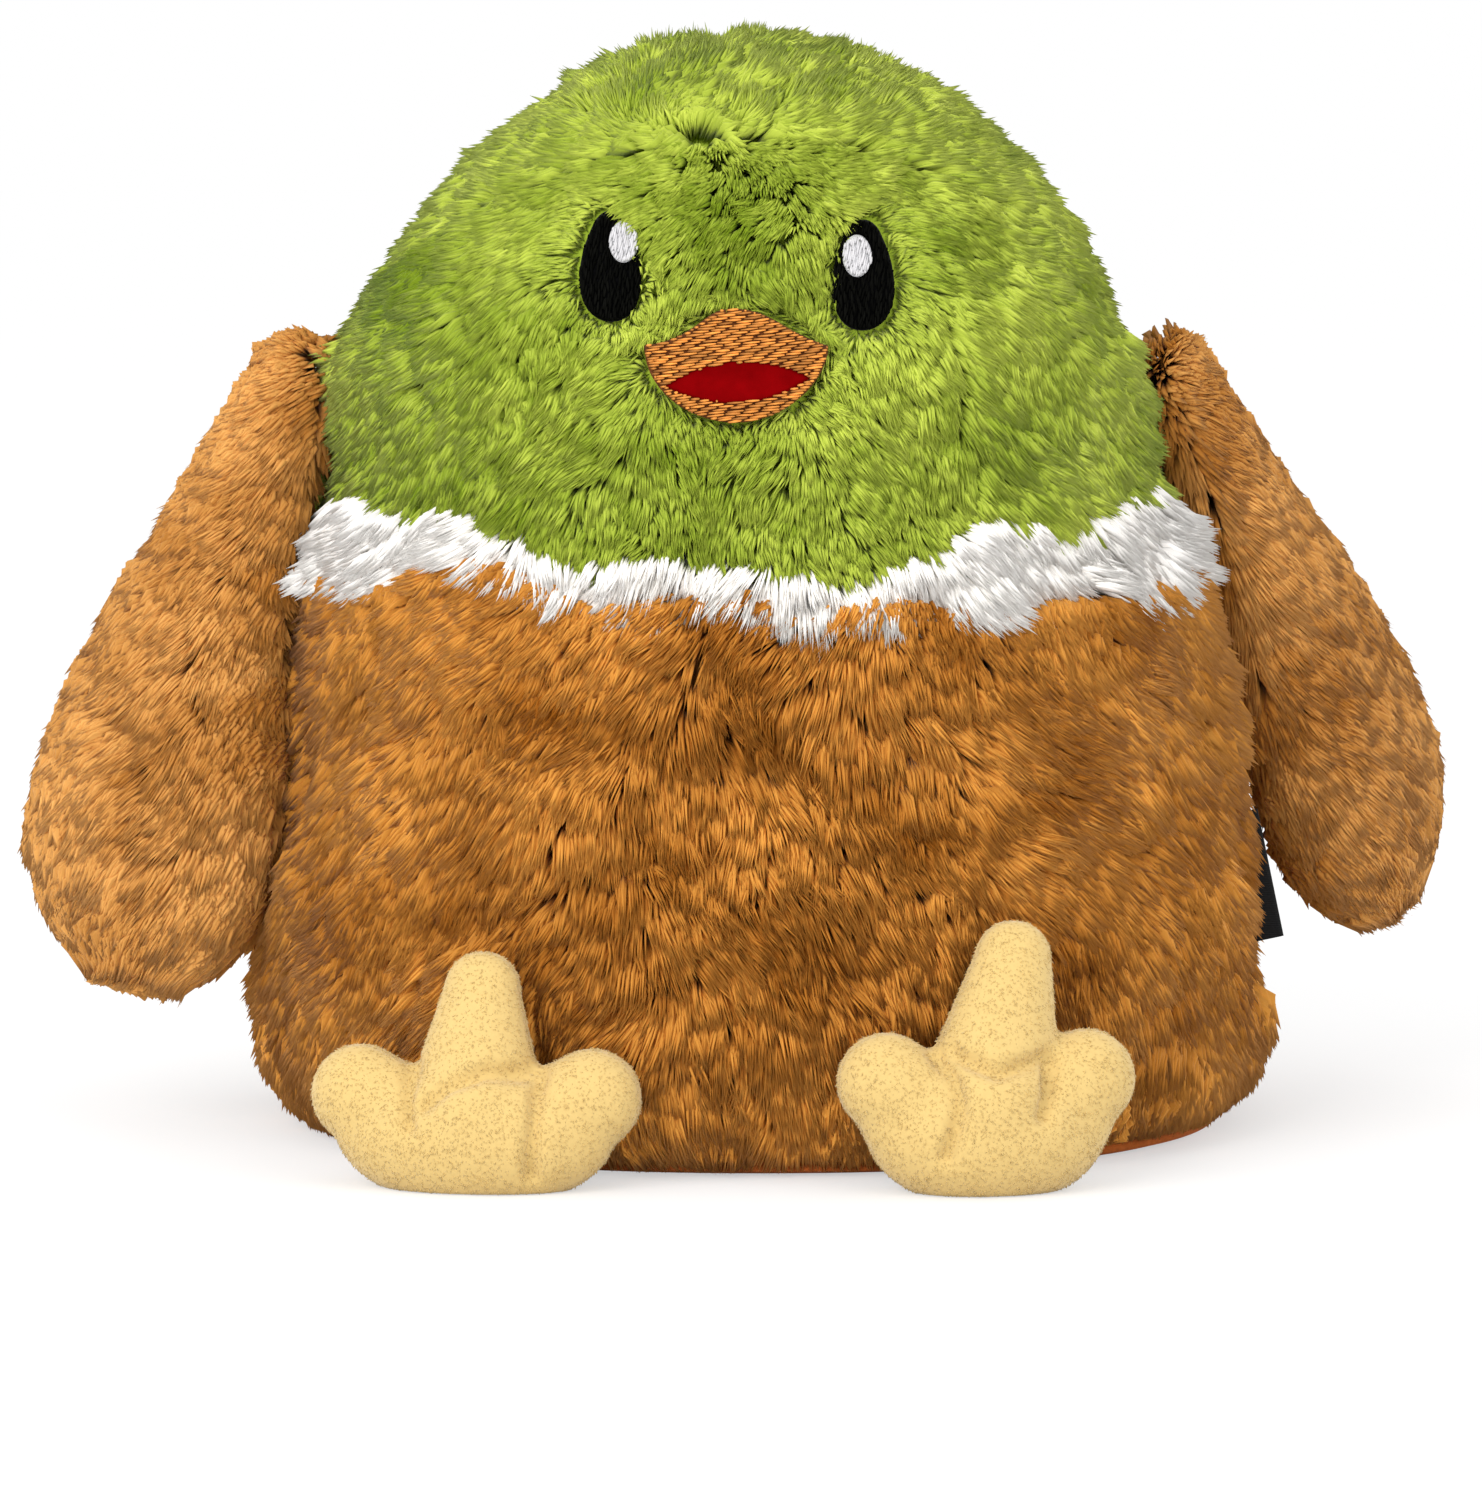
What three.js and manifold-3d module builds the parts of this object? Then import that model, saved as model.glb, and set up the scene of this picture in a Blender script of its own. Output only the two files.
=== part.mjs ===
// A stuffed toy duck, sewn from long-pile cloth and filled with fibre. It sits on a flat base panel
// with its wings hanging from the shoulders and its two three-toed feet standing against its front.
// Millimetres, +Z up, the face towards -Y. The origin is the middle of the base panel, on the floor.
// Left and right are the duck's own: its left side is at +X.
import * as THREE from "three";
import { mergeVertices } from "three/addons/utils/BufferGeometryUtils.js";
import Module from "manifold-3d";

const wasm = await Module();
wasm.setup();

// Cloth and clearances
const PILE = 8; // the fur cloth's backing and pile together
const PLUSH = 3; // the feet's short plush, backing and nap together
const GAP = 0.3; // between pieces that touch
const FILLING_GAP = 1.2; // between the torso's filling and the cloth round it
const WING_GAP = 0.6; // between a hanging wing and the flank that it is pressed flat against
const FOOT_GAP = 0.5; // between a foot and the belly that it stands against

// Torso outline: half-width, lean towards the duck's left, and height, from the floor to the crown
const OUTLINE = [
  [90, 4, 0],
  [99.5, 4.4, 9],
  [103.5, 4.8, 28],
  [102.5, 4.5, 45],
  [97, 3.4, 70],
  [89, 1.8, 104],
  [82.5, 0.6, 126],
  [79, -1.4, 156],
  [66, 0.6, 181],
  [43.5, 2.2, 204],
  [23.5, 1.8, 215],
  [0, 1.4, 219],
];
const CROWN = 219;
const DEPTH_AT_BASE = 0.9; // front-to-back size over side-to-side size
const DEPTH_AT_CROWN = 0.82;
const SQUARENESS = 2.2; // exponent of the cross-section; 2 is an ellipse
const BASE_THICKNESS = 4;

// Seams that run round the torso: height at the sides and how far each dips at the front
const COLLAR_TOP = { side: 122, dip: 10 };
const COLLAR_BOTTOM = { side: 105, dip: 2.5 };
// The forehead seam: height over the beak and at the shoulders
const FOREHEAD = { middle: 199, side: 163 };

// Soft lumps that the filling raises in the body's cloth between its seams: waves across it, each
// with the distance between its crests, the way that they follow each other, and its start
const LUMP_HEIGHT = 0.75; // of each wave, to either side of its middle
const LUMP_DEPTH = 1; // of the waves' middle, below the outline
const LUMPS = [
  { apart: 44, way: [0.75, 0.3, 0.6], start: 0.3 },
  { apart: 50, way: [-0.55, 0.5, 0.67], start: 2.1 },
  { apart: 38, way: [0.9, -0.4, -0.15], start: 4 },
  { apart: 41, way: [0.2, 0.8, 0.57], start: 5.2 },
  { apart: 33, way: [-0.3, 0.25, 0.92], start: 1.2 },
];
// Soft creases of the belly, seen from the front: start, end and half-width
const CREASES = [
  { from: [-40, 91], to: [6, 87], width: 5 },
  { from: [-67, 55], to: [-50, 53], width: 5 },
  { from: [-25, 37], to: [10, 58], width: 5.5 },
  { from: [30, 66], to: [52, 74], width: 5 },
];
const CREASE_DEPTH = 2.4;

// Embroidery, in the X-Z plane of the face. Depths are below the pile's tips.
const EYE = { width: 12.4, height: 22, depth: 4.6, thickness: 1.6 };
const GLINT = { width: 5.6, height: 8, depth: 3.4, thickness: 0.9 };
const RIGHT_EYE = { x: -25, z: 172.2, glint: [2.5, 4] };
const LEFT_EYE = { x: 23.4, z: 170.5, glint: [-1.2, 3] };
const BEAK = { x: -0.9, z: 152.6, width: 35, peak: 11, lip: 10.5, depth: 2.2, thickness: 3 };
const MOUTH = { x: -0.6, z: 149.8, width: 27, height: 7.4, slant: 0.8, depth: 3.6, thickness: 1.4 };

// Wing: half-width at each distance below the shoulder, and the pose that each wing hangs in
const WING_OUTLINE = [
  [0, -9],
  [6.2, -6.8],
  [8.4, 1],
  [10.4, 14],
  [14.2, 34],
  [18.9, 52],
  [23, 72],
  [25, 87],
  [23.8, 104],
  [18, 115.5],
  [10.5, 121.5],
  [0, 124],
];
const WING_CLOTH = 4.5; // its pile lies flatter than the torso's
const WING_THICKNESS = 0.62; // over its width
const WING_BOW = 6; // how far its middle bows away from the body
const WING_TIP = 124;
const SHOULDER_HEIGHT = 148;
const RIGHT_WING = { x: -90.6, y: -6, splay: 14, swing: -9, twist: 12 };
const LEFT_WING = { x: 88.5, y: 4, splay: 22.5, swing: 16, twist: 52 };

// Foot: ends and radii of its heel and toes, before each foot's own stretch
const HEEL = { y: 2, z: 11.8, halfWidth: 25, halfHeight: 14.2, halfDepth: 14 };
const SIDE_TOE = { root: [9, 0, 12], tip: [20.8, 2, 18.8], rootRadius: 10, tipRadius: 9.5 };
const MIDDLE_TOE = { root: [0, 0, 14], tip: [0, 6, 38.4], rootRadius: 14.2, tipRadius: 7.4 };
const TOE_FLATNESS = 0.86; // depth over width
const FOOT_LEAN = 8; // degrees that the foot's side seam leans back
const RIGHT_FOOT = { x: -49.9, y: -96, stretchX: 1.06, stretchZ: 1, turn: -9, lean: 0.5 };
const LEFT_FOOT = { x: 46.1, y: -99.5, stretchX: 0.91, stretchZ: 1.14, turn: 9, lean: 6.4 };

// Side label: a ribbon folded in two, sewn into the duck's left side seam down in the pile, which
// parts round it as far as it flaps
const LABEL = { bottom: 35, top: 62, depth: 5, reach: 6.8, ribbon: 0.5, opening: 0.4 };
const LABEL_PARTING = 45; // degrees each way

// Mesh fineness
const ROUND = 44; // columns round the torso
const LUMPY = 40; // columns of each body panel, which follow its lumps
const WING_ROUND = 18;
const WING_ROWS = 14;
const TOE_ROUND = 12;

const FUR_GREEN = 0x8fae2f;
const FUR_WHITE = 0xf1eee9;
const FUR_BROWN = 0xa8672a;
const BASE_BROWN = 0x8e4f22;
const PLUSH_YELLOW = 0xf0d589;
const THREAD_BLACK = 0x141414;
const THREAD_WHITE = 0xeceae6;
const THREAD_ORANGE = 0xd98740;
const FELT_RED = 0xb5121b;
const RIBBON_BLACK = 0x1f1e1d;
const FIBRE_WHITE = 0xf4f2ee;

const radians = THREE.MathUtils.degToRad;

// Solids

// Turns any closed geometry into a solid, with its doubled points merged and its flat slivers dropped.
function solidOf(geometry, matrix = new THREE.Matrix4()) {
  const bare = new THREE.BufferGeometry();
  bare.setAttribute("position", geometry.getAttribute("position").clone());
  bare.setIndex(geometry.getIndex());
  const merged = mergeVertices(bare.applyMatrix4(matrix), 1e-4);
  const corners = merged.getIndex().array;
  const kept = [];
  for (let i = 0; i < corners.length; i += 3) {
    const [a, b, c] = corners.subarray(i, i + 3);
    if (a !== b && b !== c && c !== a) kept.push(a, b, c);
  }
  const solid = new wasm.Manifold(
    new wasm.Mesh({
      numProp: 3,
      vertProperties: new Float32Array(merged.getAttribute("position").array),
      triVerts: new Uint32Array(kept),
    }),
  );
  return solid.volume() < 0 ? flipped(merged, kept) : solid;
}

function flipped(merged, corners) {
  const turned = new Uint32Array(corners.length);
  for (let i = 0; i < corners.length; i += 3) {
    turned.set([corners[i], corners[i + 2], corners[i + 1]], i);
  }
  return new wasm.Manifold(
    new wasm.Mesh({
      numProp: 3,
      vertProperties: new Float32Array(merged.getAttribute("position").array),
      triVerts: turned,
    }),
  );
}

function meshOf(name, solid, colour, roughness = 1) {
  const { vertProperties, triVerts, numProp } = solid.getMesh();
  const places = new Float32Array((vertProperties.length / numProp) * 3);
  for (let i = 0; i < places.length / 3; i++) {
    places.set(vertProperties.subarray(i * numProp, i * numProp + 3), i * 3);
  }
  const geometry = new THREE.BufferGeometry();
  geometry.setAttribute("position", new THREE.BufferAttribute(places, 3));
  geometry.setIndex(new THREE.BufferAttribute(new Uint32Array(triVerts), 1));
  geometry.computeVertexNormals();
  const material = new THREE.MeshStandardMaterial({ color: colour, roughness, metalness: 0 });
  const mesh = new THREE.Mesh(geometry, material);
  mesh.name = name;
  return mesh;
}

// A solid between two sheets of one grid: at(u, v, side) is a point of the outer sheet for side 0
// and of the inner one for side 1. A closed grid meets itself at u 0 and 1.
function shell(columns, rows, at, closed = false) {
  const places = [];
  const faces = [];
  const spot = (side, i, j) => (side * (columns + 1) + i) * (rows + 1) + j;
  const quad = (a, b, c, d) => faces.push(a, b, c, a, c, d);
  for (const side of [0, 1]) {
    for (let i = 0; i <= columns; i++) {
      const u = closed ? (i % columns) / columns : i / columns;
      for (let j = 0; j <= rows; j++) places.push(...at(u, j / rows, side).toArray());
    }
  }
  for (let i = 0; i < columns; i++) {
    for (let j = 0; j < rows; j++) {
      quad(spot(0, i, j), spot(0, i + 1, j), spot(0, i + 1, j + 1), spot(0, i, j + 1));
      quad(spot(1, i, j), spot(1, i, j + 1), spot(1, i + 1, j + 1), spot(1, i + 1, j));
    }
    quad(spot(0, i, 0), spot(1, i, 0), spot(1, i + 1, 0), spot(0, i + 1, 0));
    quad(spot(0, i, rows), spot(0, i + 1, rows), spot(1, i + 1, rows), spot(1, i, rows));
  }
  for (let j = 0; j < rows && !closed; j++) {
    quad(spot(0, 0, j), spot(0, 0, j + 1), spot(1, 0, j + 1), spot(1, 0, j));
    quad(spot(0, columns, j), spot(1, columns, j), spot(1, columns, j + 1), spot(0, columns, j + 1));
  }
  return solidOf(gridGeometry(places, faces));
}

// A closed solid of rings: ring(u, j) is a point of ring j, and the first and last are single points.
function loft(columns, rings, ring) {
  const places = [];
  const faces = [];
  for (let j = 0; j < rings; j++) {
    for (let i = 0; i < columns; i++) places.push(...ring(i / columns, j).toArray());
  }
  for (let j = 0; j + 1 < rings; j++) {
    for (let i = 0; i < columns; i++) {
      const next = (i + 1) % columns;
      const [a, b] = [j * columns + i, j * columns + next];
      faces.push(a, b, b + columns, a, b + columns, a + columns);
    }
  }
  return solidOf(gridGeometry(places, faces));
}

function gridGeometry(places, faces) {
  const geometry = new THREE.BufferGeometry();
  geometry.setAttribute("position", new THREE.Float32BufferAttribute(places, 3));
  geometry.setIndex(faces);
  return geometry;
}

// A prism of a flat outline in the X-Z plane, running front to back through the face.
function prism(outline, front = -120, back = -30) {
  const geometry = new THREE.ExtrudeGeometry(outline, {
    depth: back - front,
    bevelEnabled: false,
    curveSegments: 8,
  });
  const upright = new THREE.Matrix4().makeRotationX(Math.PI / 2);
  upright.premultiply(new THREE.Matrix4().makeTranslation(0, back, 0));
  return solidOf(geometry, upright);
}

// Torso surface

// The outline as a curve whose X is the half-width and whose Y is the lean.
const outline = new THREE.CatmullRomCurve3(
  OUTLINE.map((place) => new THREE.Vector3(...place)),
  false,
  "centripetal",
);

// The outline's own parameter at a height, which it passes once.
function outlineAt(height) {
  let [low, high] = [0, 1];
  for (let i = 0; i < 40; i++) {
    const middle = (low + high) / 2;
    if (outline.getPoint(middle).z < height) low = middle;
    else high = middle;
  }
  return high;
}

// A point of the cross-section, where the angle runs from +X round by the back.
function sectionPoint(angle, halfWidth, halfDepth) {
  const [c, s] = [Math.cos(angle), Math.sin(angle)];
  const rounded = (value) => Math.sign(value) * Math.abs(value) ** (2 / SQUARENESS);
  return [halfWidth * rounded(c), halfDepth * rounded(s)];
}

// How far the torso leans to the duck's left at a height.
function leanAt(z) {
  return outline.getPoint(outlineAt(z)).y;
}

// A point of the torso's surface at an angle and height, moved out from the pile's tips by `out`.
function torsoPoint(angle, height, out = 0) {
  const along = outlineAt(height);
  const place = outline.getPoint(along);
  const way = outline.getTangent(along);
  const atCrown = height >= CROWN;
  const across = atCrown ? 0 : Math.max(0, place.x + out * way.z);
  const z = atCrown ? CROWN + out : place.z - out * way.x;
  const depth = THREE.MathUtils.lerp(DEPTH_AT_BASE, DEPTH_AT_CROWN, height / CROWN);
  const [x, y] = sectionPoint(angle, across, across * depth);
  return new THREE.Vector3(x + place.y, y, z);
}

// The height of a seam round the torso, which dips at the front.
function seamHeight({ side, dip }, angle) {
  return side - dip * Math.max(0, -Math.sin(angle)) ** 2;
}

// The forehead seam's height, from one shoulder over the forehead to the other.
function foreheadHeight(angle) {
  const front = Math.max(0, -Math.sin(angle));
  return THREE.MathUtils.lerp(FOREHEAD.side, FOREHEAD.middle, front ** 0.8);
}

// The whole torso as one solid, with its surface moved out by `out`, from a flat floor upwards.
function torsoCore(out, floor, columns = ROUND, rows = 18) {
  const lowest = heightWhere(out, floor);
  return loft(columns, rows + 3, (u, j) => {
    const angle = u * 2 * Math.PI;
    if (j === 0) return new THREE.Vector3(leanAt(floor), 0, floor);
    const share = Math.max(0, j - 2) / rows;
    const height = THREE.MathUtils.lerp(lowest, CROWN, Math.sin((share * Math.PI) / 2) ** 0.9);
    const point = torsoPoint(angle, j === rows + 2 ? CROWN : height, out);
    if (j === 1) point.setZ(floor);
    return point;
  });
}

// The height on the outline from which a moved surface clears the floor.
function heightWhere(out, floor) {
  let height = floor;
  while (torsoPoint(0, height, out).z < floor + 1) height += 0.5;
  return height;
}

const onOutline = () => 0;

// A panel of fur cloth between two seams, over a range of angles. Its pile's tips stand out by
// outer(angle, height) from the outline.
function panel(from, to, columns, rows, lower, upper, outer = onOutline, inner = -PILE) {
  return shell(columns, rows, (u, v, side) => {
    const angle = THREE.MathUtils.lerp(from, to, u);
    const height = THREE.MathUtils.lerp(lower(angle), upper(angle), v);
    return torsoPoint(angle, height, side ? inner : outer(angle, height));
  });
}

// The front and back pair of panels between two seams, with a gap along each side seam.
function panelPair(columns, rows, lower, upper, outer = onOutline) {
  const inset = GAP / 2 / OUTLINE[0][0];
  const low = (angle) => lower(angle) + GAP / 2;
  const high = (angle) => upper(angle) - GAP / 2;
  const [front, back] = [Math.PI, 0].map((start) =>
    panel(start + inset, start + Math.PI - inset, columns, rows, low, high, outer),
  );
  return { front, back };
}

// How near a point of the belly lies to one of its creases, from 0 to 1.
function creaseAt({ x, y, z }) {
  if (y > 0) return 0;
  const nearness = CREASES.map(({ from, to, width }) => {
    const line = new THREE.Line3(new THREE.Vector3(...from), new THREE.Vector3(...to));
    const spot = new THREE.Vector3(x, z, 0);
    const nearest = line.closestPointToPoint(spot, true, new THREE.Vector3());
    return Math.exp(-((spot.distanceTo(nearest) / width) ** 2));
  });
  return Math.max(...nearness);
}

// How far the body's pile stands out from the outline, where lumps and creases lie between seams.
function bodySwell(angle, height) {
  const point = torsoPoint(angle, height);
  const waves = LUMPS.map(({ apart, way, start }) =>
    Math.sin((point.dot(new THREE.Vector3(...way)) * 2 * Math.PI) / apart + start),
  );
  const lumps = LUMP_HEIGHT * waves.reduce((a, b) => a + b) - LUMP_DEPTH;
  const fromSide = Math.abs(Math.sin(angle)) / 0.2;
  const fromEnds = Math.min(height - BASE_THICKNESS, collarBottom(angle) - height) / 14;
  const loose = THREE.MathUtils.clamp(Math.min(fromSide, fromEnds), 0, 1);
  return Math.min(0, lumps - CREASE_DEPTH * creaseAt(point)) * loose;
}

// Torso pieces

const collarTop = (angle) => seamHeight(COLLAR_TOP, angle);
const collarBottom = (angle) => seamHeight(COLLAR_BOTTOM, angle);

function basePanel() {
  const levels = [0, 0, BASE_THICKNESS, BASE_THICKNESS];
  return loft(ROUND, levels.length, (u, j) => {
    const centred = j === 0 || j === levels.length - 1;
    if (centred) return new THREE.Vector3(leanAt(levels[j]), 0, levels[j]);
    return torsoPoint(u * 2 * Math.PI, levels[j]).setZ(levels[j]);
  });
}

function torsoFilling() {
  return torsoCore(-PILE - FILLING_GAP, BASE_THICKNESS + GAP, 32, 14);
}

// The head's cloth is one cap, cut along the forehead seam into the face and the back of the head.
function headPanels() {
  const cap = shell(
    ROUND,
    16,
    (u, v, side) => {
      const angle = u * 2 * Math.PI;
      const low = collarTop(angle) + GAP / 2;
      const height = THREE.MathUtils.lerp(low, CROWN, Math.sin((v * Math.PI) / 2));
      return torsoPoint(angle, v === 1 ? CROWN : height, side ? -PILE : 0);
    },
    true,
  );
  const cutter = (grow) =>
    panel(
      Math.PI - grow / OUTLINE[0][0],
      2 * Math.PI + grow / OUTLINE[0][0],
      ROUND / 2,
      8,
      (angle) => collarTop(angle) - 2,
      (angle) => foreheadHeight(angle) + grow,
      () => 2,
      -PILE - 2,
    );
  return { face: cap.intersect(cutter(-GAP / 2)), back: cap.subtract(cutter(GAP / 2)) };
}

// Embroidered outlines

function eyeOutline({ x, z }, grow = 0) {
  const [w, h] = [EYE.width / 2 + grow, EYE.height / 2 + grow];
  const shape = new THREE.Shape();
  shape.moveTo(x, z - h);
  shape.bezierCurveTo(x + w * 1.1, z - h, x + w * 1.2, z - h * 0.1, x + w * 0.6, z + h * 0.6);
  shape.bezierCurveTo(x + w * 0.35, z + h, x - w * 0.35, z + h, x - w * 0.6, z + h * 0.6);
  shape.bezierCurveTo(x - w * 1.2, z - h * 0.1, x - w * 1.1, z - h, x, z - h);
  return shape;
}

function glintOutline({ x, z, glint }, grow = 0) {
  const shape = new THREE.Shape();
  const [wide, high] = [GLINT.width / 2 + grow, GLINT.height / 2 + grow];
  shape.absellipse(x + glint[0], z + glint[1], wide, high, 0, Math.PI * 2);
  return shape;
}

function beakOutline(grow = 0) {
  const w = BEAK.width / 2 + grow;
  const [top, bottom] = [BEAK.z + BEAK.peak + grow, BEAK.z - BEAK.lip - grow];
  const [x, corner] = [BEAK.x, BEAK.z + 4];
  const shape = new THREE.Shape();
  shape.moveTo(x - w, corner);
  shape.bezierCurveTo(x - w, corner - 8.5, x - w * 0.5, bottom, x, bottom);
  shape.bezierCurveTo(x + w * 0.5, bottom, x + w, corner - 7, x + w, corner);
  shape.bezierCurveTo(x + w * 0.5, corner + 2.6 + grow, x + w * 0.4, top, x - 0.8, top);
  shape.bezierCurveTo(x - w * 0.38, top, x - w * 0.4, corner + 1.4 + grow, x - w, corner);
  return shape;
}

function mouthOutline(grow = 0) {
  const [w, h] = [MOUTH.width / 2 + grow, (MOUTH.height / 2 + grow) * 1.33];
  const { x, z, slant } = MOUTH;
  const shape = new THREE.Shape();
  shape.moveTo(x - w, z - slant);
  shape.bezierCurveTo(x - w * 0.4, z - h, x + w * 0.4, z - h, x + w, z + slant);
  shape.bezierCurveTo(x + w * 0.4, z + h, x - w * 0.4, z + h, x - w, z - slant);
  return shape;
}

// A layer of the face between two depths below the pile's tips.
function faceLayer({ depth, thickness }) {
  const [from, to] = [radians(200), radians(340)];
  const [lower, upper] = [() => 132, () => 190];
  return panel(from, to, 20, 12, lower, upper, () => -depth, -depth - thickness);
}

function embroidery() {
  const patch = (spec, ...shapes) => faceLayer(spec).intersect(shapes.reduce((a, b) => a.subtract(b)));
  const eyes = [RIGHT_EYE, LEFT_EYE].map((place) => ({
    eye: patch(EYE, prism(eyeOutline(place))),
    glint: patch(GLINT, prism(glintOutline(place))),
  }));
  const beak = patch(BEAK, prism(beakOutline()), prism(mouthOutline(GAP)));
  const mouth = patch(MOUTH, prism(mouthOutline()));
  return { right: eyes[0], left: eyes[1], beak, mouth };
}

// The wells that the embroidery lies in, down to just under each patch.
function embroideryWells() {
  const well = (shape, { depth, thickness }) =>
    prism(shape).subtract(torsoCore(-depth - thickness - GAP, BASE_THICKNESS));
  return [
    well(eyeOutline(RIGHT_EYE, GAP), EYE),
    well(eyeOutline(LEFT_EYE, GAP), EYE),
    well(glintOutline(RIGHT_EYE, GAP), GLINT),
    well(glintOutline(LEFT_EYE, GAP), GLINT),
    well(beakOutline(GAP), BEAK),
  ];
}

function torso() {
  const { face, back } = headPanels();
  const collar = panelPair(ROUND / 2, 2, collarBottom, collarTop);
  const body = panelPair(LUMPY, 16, () => BASE_THICKNESS + GAP / 2, collarBottom, bodySwell);
  const [bodyFront, bodyBack] = [body.front, body.back].map((cloth) => cloth.subtract(labelParting()));
  const sewn = embroidery();
  const faceWithWells = embroideryWells().reduce((cloth, well) => cloth.subtract(well), face);
  const group = new THREE.Group();
  group.add(
    meshOf("base_panel", basePanel(), BASE_BROWN),
    meshOf("body_front_panel", bodyFront, FUR_BROWN),
    meshOf("body_back_panel", bodyBack, FUR_BROWN),
    meshOf("collar_front_panel", collar.front, FUR_WHITE),
    meshOf("collar_back_panel", collar.back, FUR_WHITE),
    meshOf("face_panel", faceWithWells, FUR_GREEN),
    meshOf("head_back_panel", back, FUR_GREEN),
    meshOf("torso_filling", torsoFilling(), FIBRE_WHITE),
    meshOf("right_eye", sewn.right.eye, THREAD_BLACK, 0.8),
    meshOf("right_eye_glint", sewn.right.glint, THREAD_WHITE, 0.6),
    meshOf("left_eye", sewn.left.eye, THREAD_BLACK, 0.8),
    meshOf("left_eye_glint", sewn.left.glint, THREAD_WHITE, 0.6),
    meshOf("beak_embroidery", sewn.beak, THREAD_ORANGE, 0.55),
    meshOf("mouth_patch", sewn.mouth, FELT_RED, 0.7),
  );
  return group;
}

// Wings

const wingOutline = new THREE.CatmullRomCurve3(
  WING_OUTLINE.map(([halfWidth, down]) => new THREE.Vector3(halfWidth, 0, -down)),
  false,
  "centripetal",
);

// A point of the wing's surface, moved out by `out`. u runs round the wing and v down it.
function wingPoint(side, u, v, out) {
  const place = wingOutline.getPoint(v);
  const way = wingOutline.getTangent(v);
  const atEnd = v === 0 || v === 1;
  const across = atEnd ? 0 : Math.max(0, place.x - out * way.z);
  const z = place.z + out * (atEnd ? 1 - 2 * v : way.x);
  const share = THREE.MathUtils.clamp(-z / WING_TIP, 0, 1);
  const bow = WING_BOW * Math.sin(share * Math.PI);
  const angle = u * 2 * Math.PI;
  const thickness = place.x * WING_THICKNESS + (across - place.x);
  const depth = atEnd ? 0 : Math.max(0, thickness);
  return new THREE.Vector3(across * Math.cos(angle) + side * bow, depth * Math.sin(angle), z);
}

// One half of the wing's cover: the half-turn of cloth that starts at u.
function wingPanel(side, start) {
  const seam = GAP / 2 / (2 * Math.PI * 18);
  return shell(WING_ROUND / 2, WING_ROWS, (u, v, inner) => {
    const turn = THREE.MathUtils.lerp(start + seam, start + 0.5 - seam, u);
    return wingPoint(side, turn, v, inner ? -WING_CLOTH : 0);
  });
}

// The two halves of a wing's cover meet at its ends, so each is cut back along the wing's seam plane.
function wingHalf(side, start) {
  const keep = new THREE.BoxGeometry(200, 100, 400);
  const middle = start === 0.5 ? -50 - GAP / 2 : 50 + GAP / 2;
  const half = solidOf(keep, new THREE.Matrix4().makeTranslation(0, middle, 0));
  return wingPanel(side, start).intersect(half);
}

function wing(name, side, pose) {
  const group = new THREE.Group();
  group.position.set(pose.x, pose.y, SHOULDER_HEIGHT);
  group.rotation.set(
    radians(pose.swing),
    radians(-side * pose.splay),
    radians(side * pose.twist),
    "YXZ",
  );
  group.updateMatrix();
  const flank = (gap) => torsoCore(gap, 0).transform(group.matrix.clone().invert().elements);
  const [outside, inside] = [flank(WING_GAP), -WING_CLOTH - GAP];
  const filling = loft(WING_ROUND, WING_ROWS + 1, (u, j) =>
    wingPoint(side, u, j / WING_ROWS, inside),
  );
  group.add(
    meshOf(`${name}_front_panel`, wingHalf(side, 0.5).subtract(outside), FUR_BROWN),
    meshOf(`${name}_back_panel`, wingHalf(side, 0).subtract(outside), FUR_BROWN),
    meshOf(`${name}_filling`, filling.subtract(flank(WING_GAP + 1)), FIBRE_WHITE),
  );
  return group;
}

// Feet

// A round-ended taper between two points, flattened front to back.
function toe({ root, tip, rootRadius, tipRadius }, grow, stretch) {
  const from = new THREE.Vector3(...root).multiply(stretch);
  const to = new THREE.Vector3(...tip).multiply(stretch);
  const way = to.clone().sub(from);
  const [low, high] = [rootRadius + grow, tipRadius + grow];
  const profile = [];
  for (let i = 0; i <= 4; i++) {
    const turn = (i / 4) * (Math.PI / 2);
    profile.push(new THREE.Vector2(low * Math.sin(turn), -low * Math.cos(turn)));
  }
  for (let i = 0; i <= 5; i++) {
    const turn = (i / 5) * (Math.PI / 2);
    profile.push(new THREE.Vector2(high * Math.cos(turn), way.length() + high * Math.sin(turn)));
  }
  profile[0].setX(0);
  profile.at(-1).setX(0);
  const shape = new THREE.LatheGeometry(profile, TOE_ROUND);
  const pose = new THREE.Matrix4().makeRotationFromQuaternion(
    new THREE.Quaternion().setFromUnitVectors(new THREE.Vector3(0, 1, 0), way.normalize()),
  );
  pose.premultiply(new THREE.Matrix4().makeScale(1, TOE_FLATNESS, 1));
  return solidOf(shape, pose.premultiply(new THREE.Matrix4().makeTranslation(...from.toArray())));
}

function heel(grow, stretch) {
  const ball = new THREE.SphereGeometry(1, TOE_ROUND + 4, 10);
  const place = new THREE.Matrix4().makeTranslation(0, HEEL.y, HEEL.z);
  const size = new THREE.Matrix4().makeScale(
    HEEL.halfWidth * stretch.x + grow,
    HEEL.halfDepth + grow,
    HEEL.halfHeight + grow,
  );
  return solidOf(ball, place.multiply(size));
}

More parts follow.
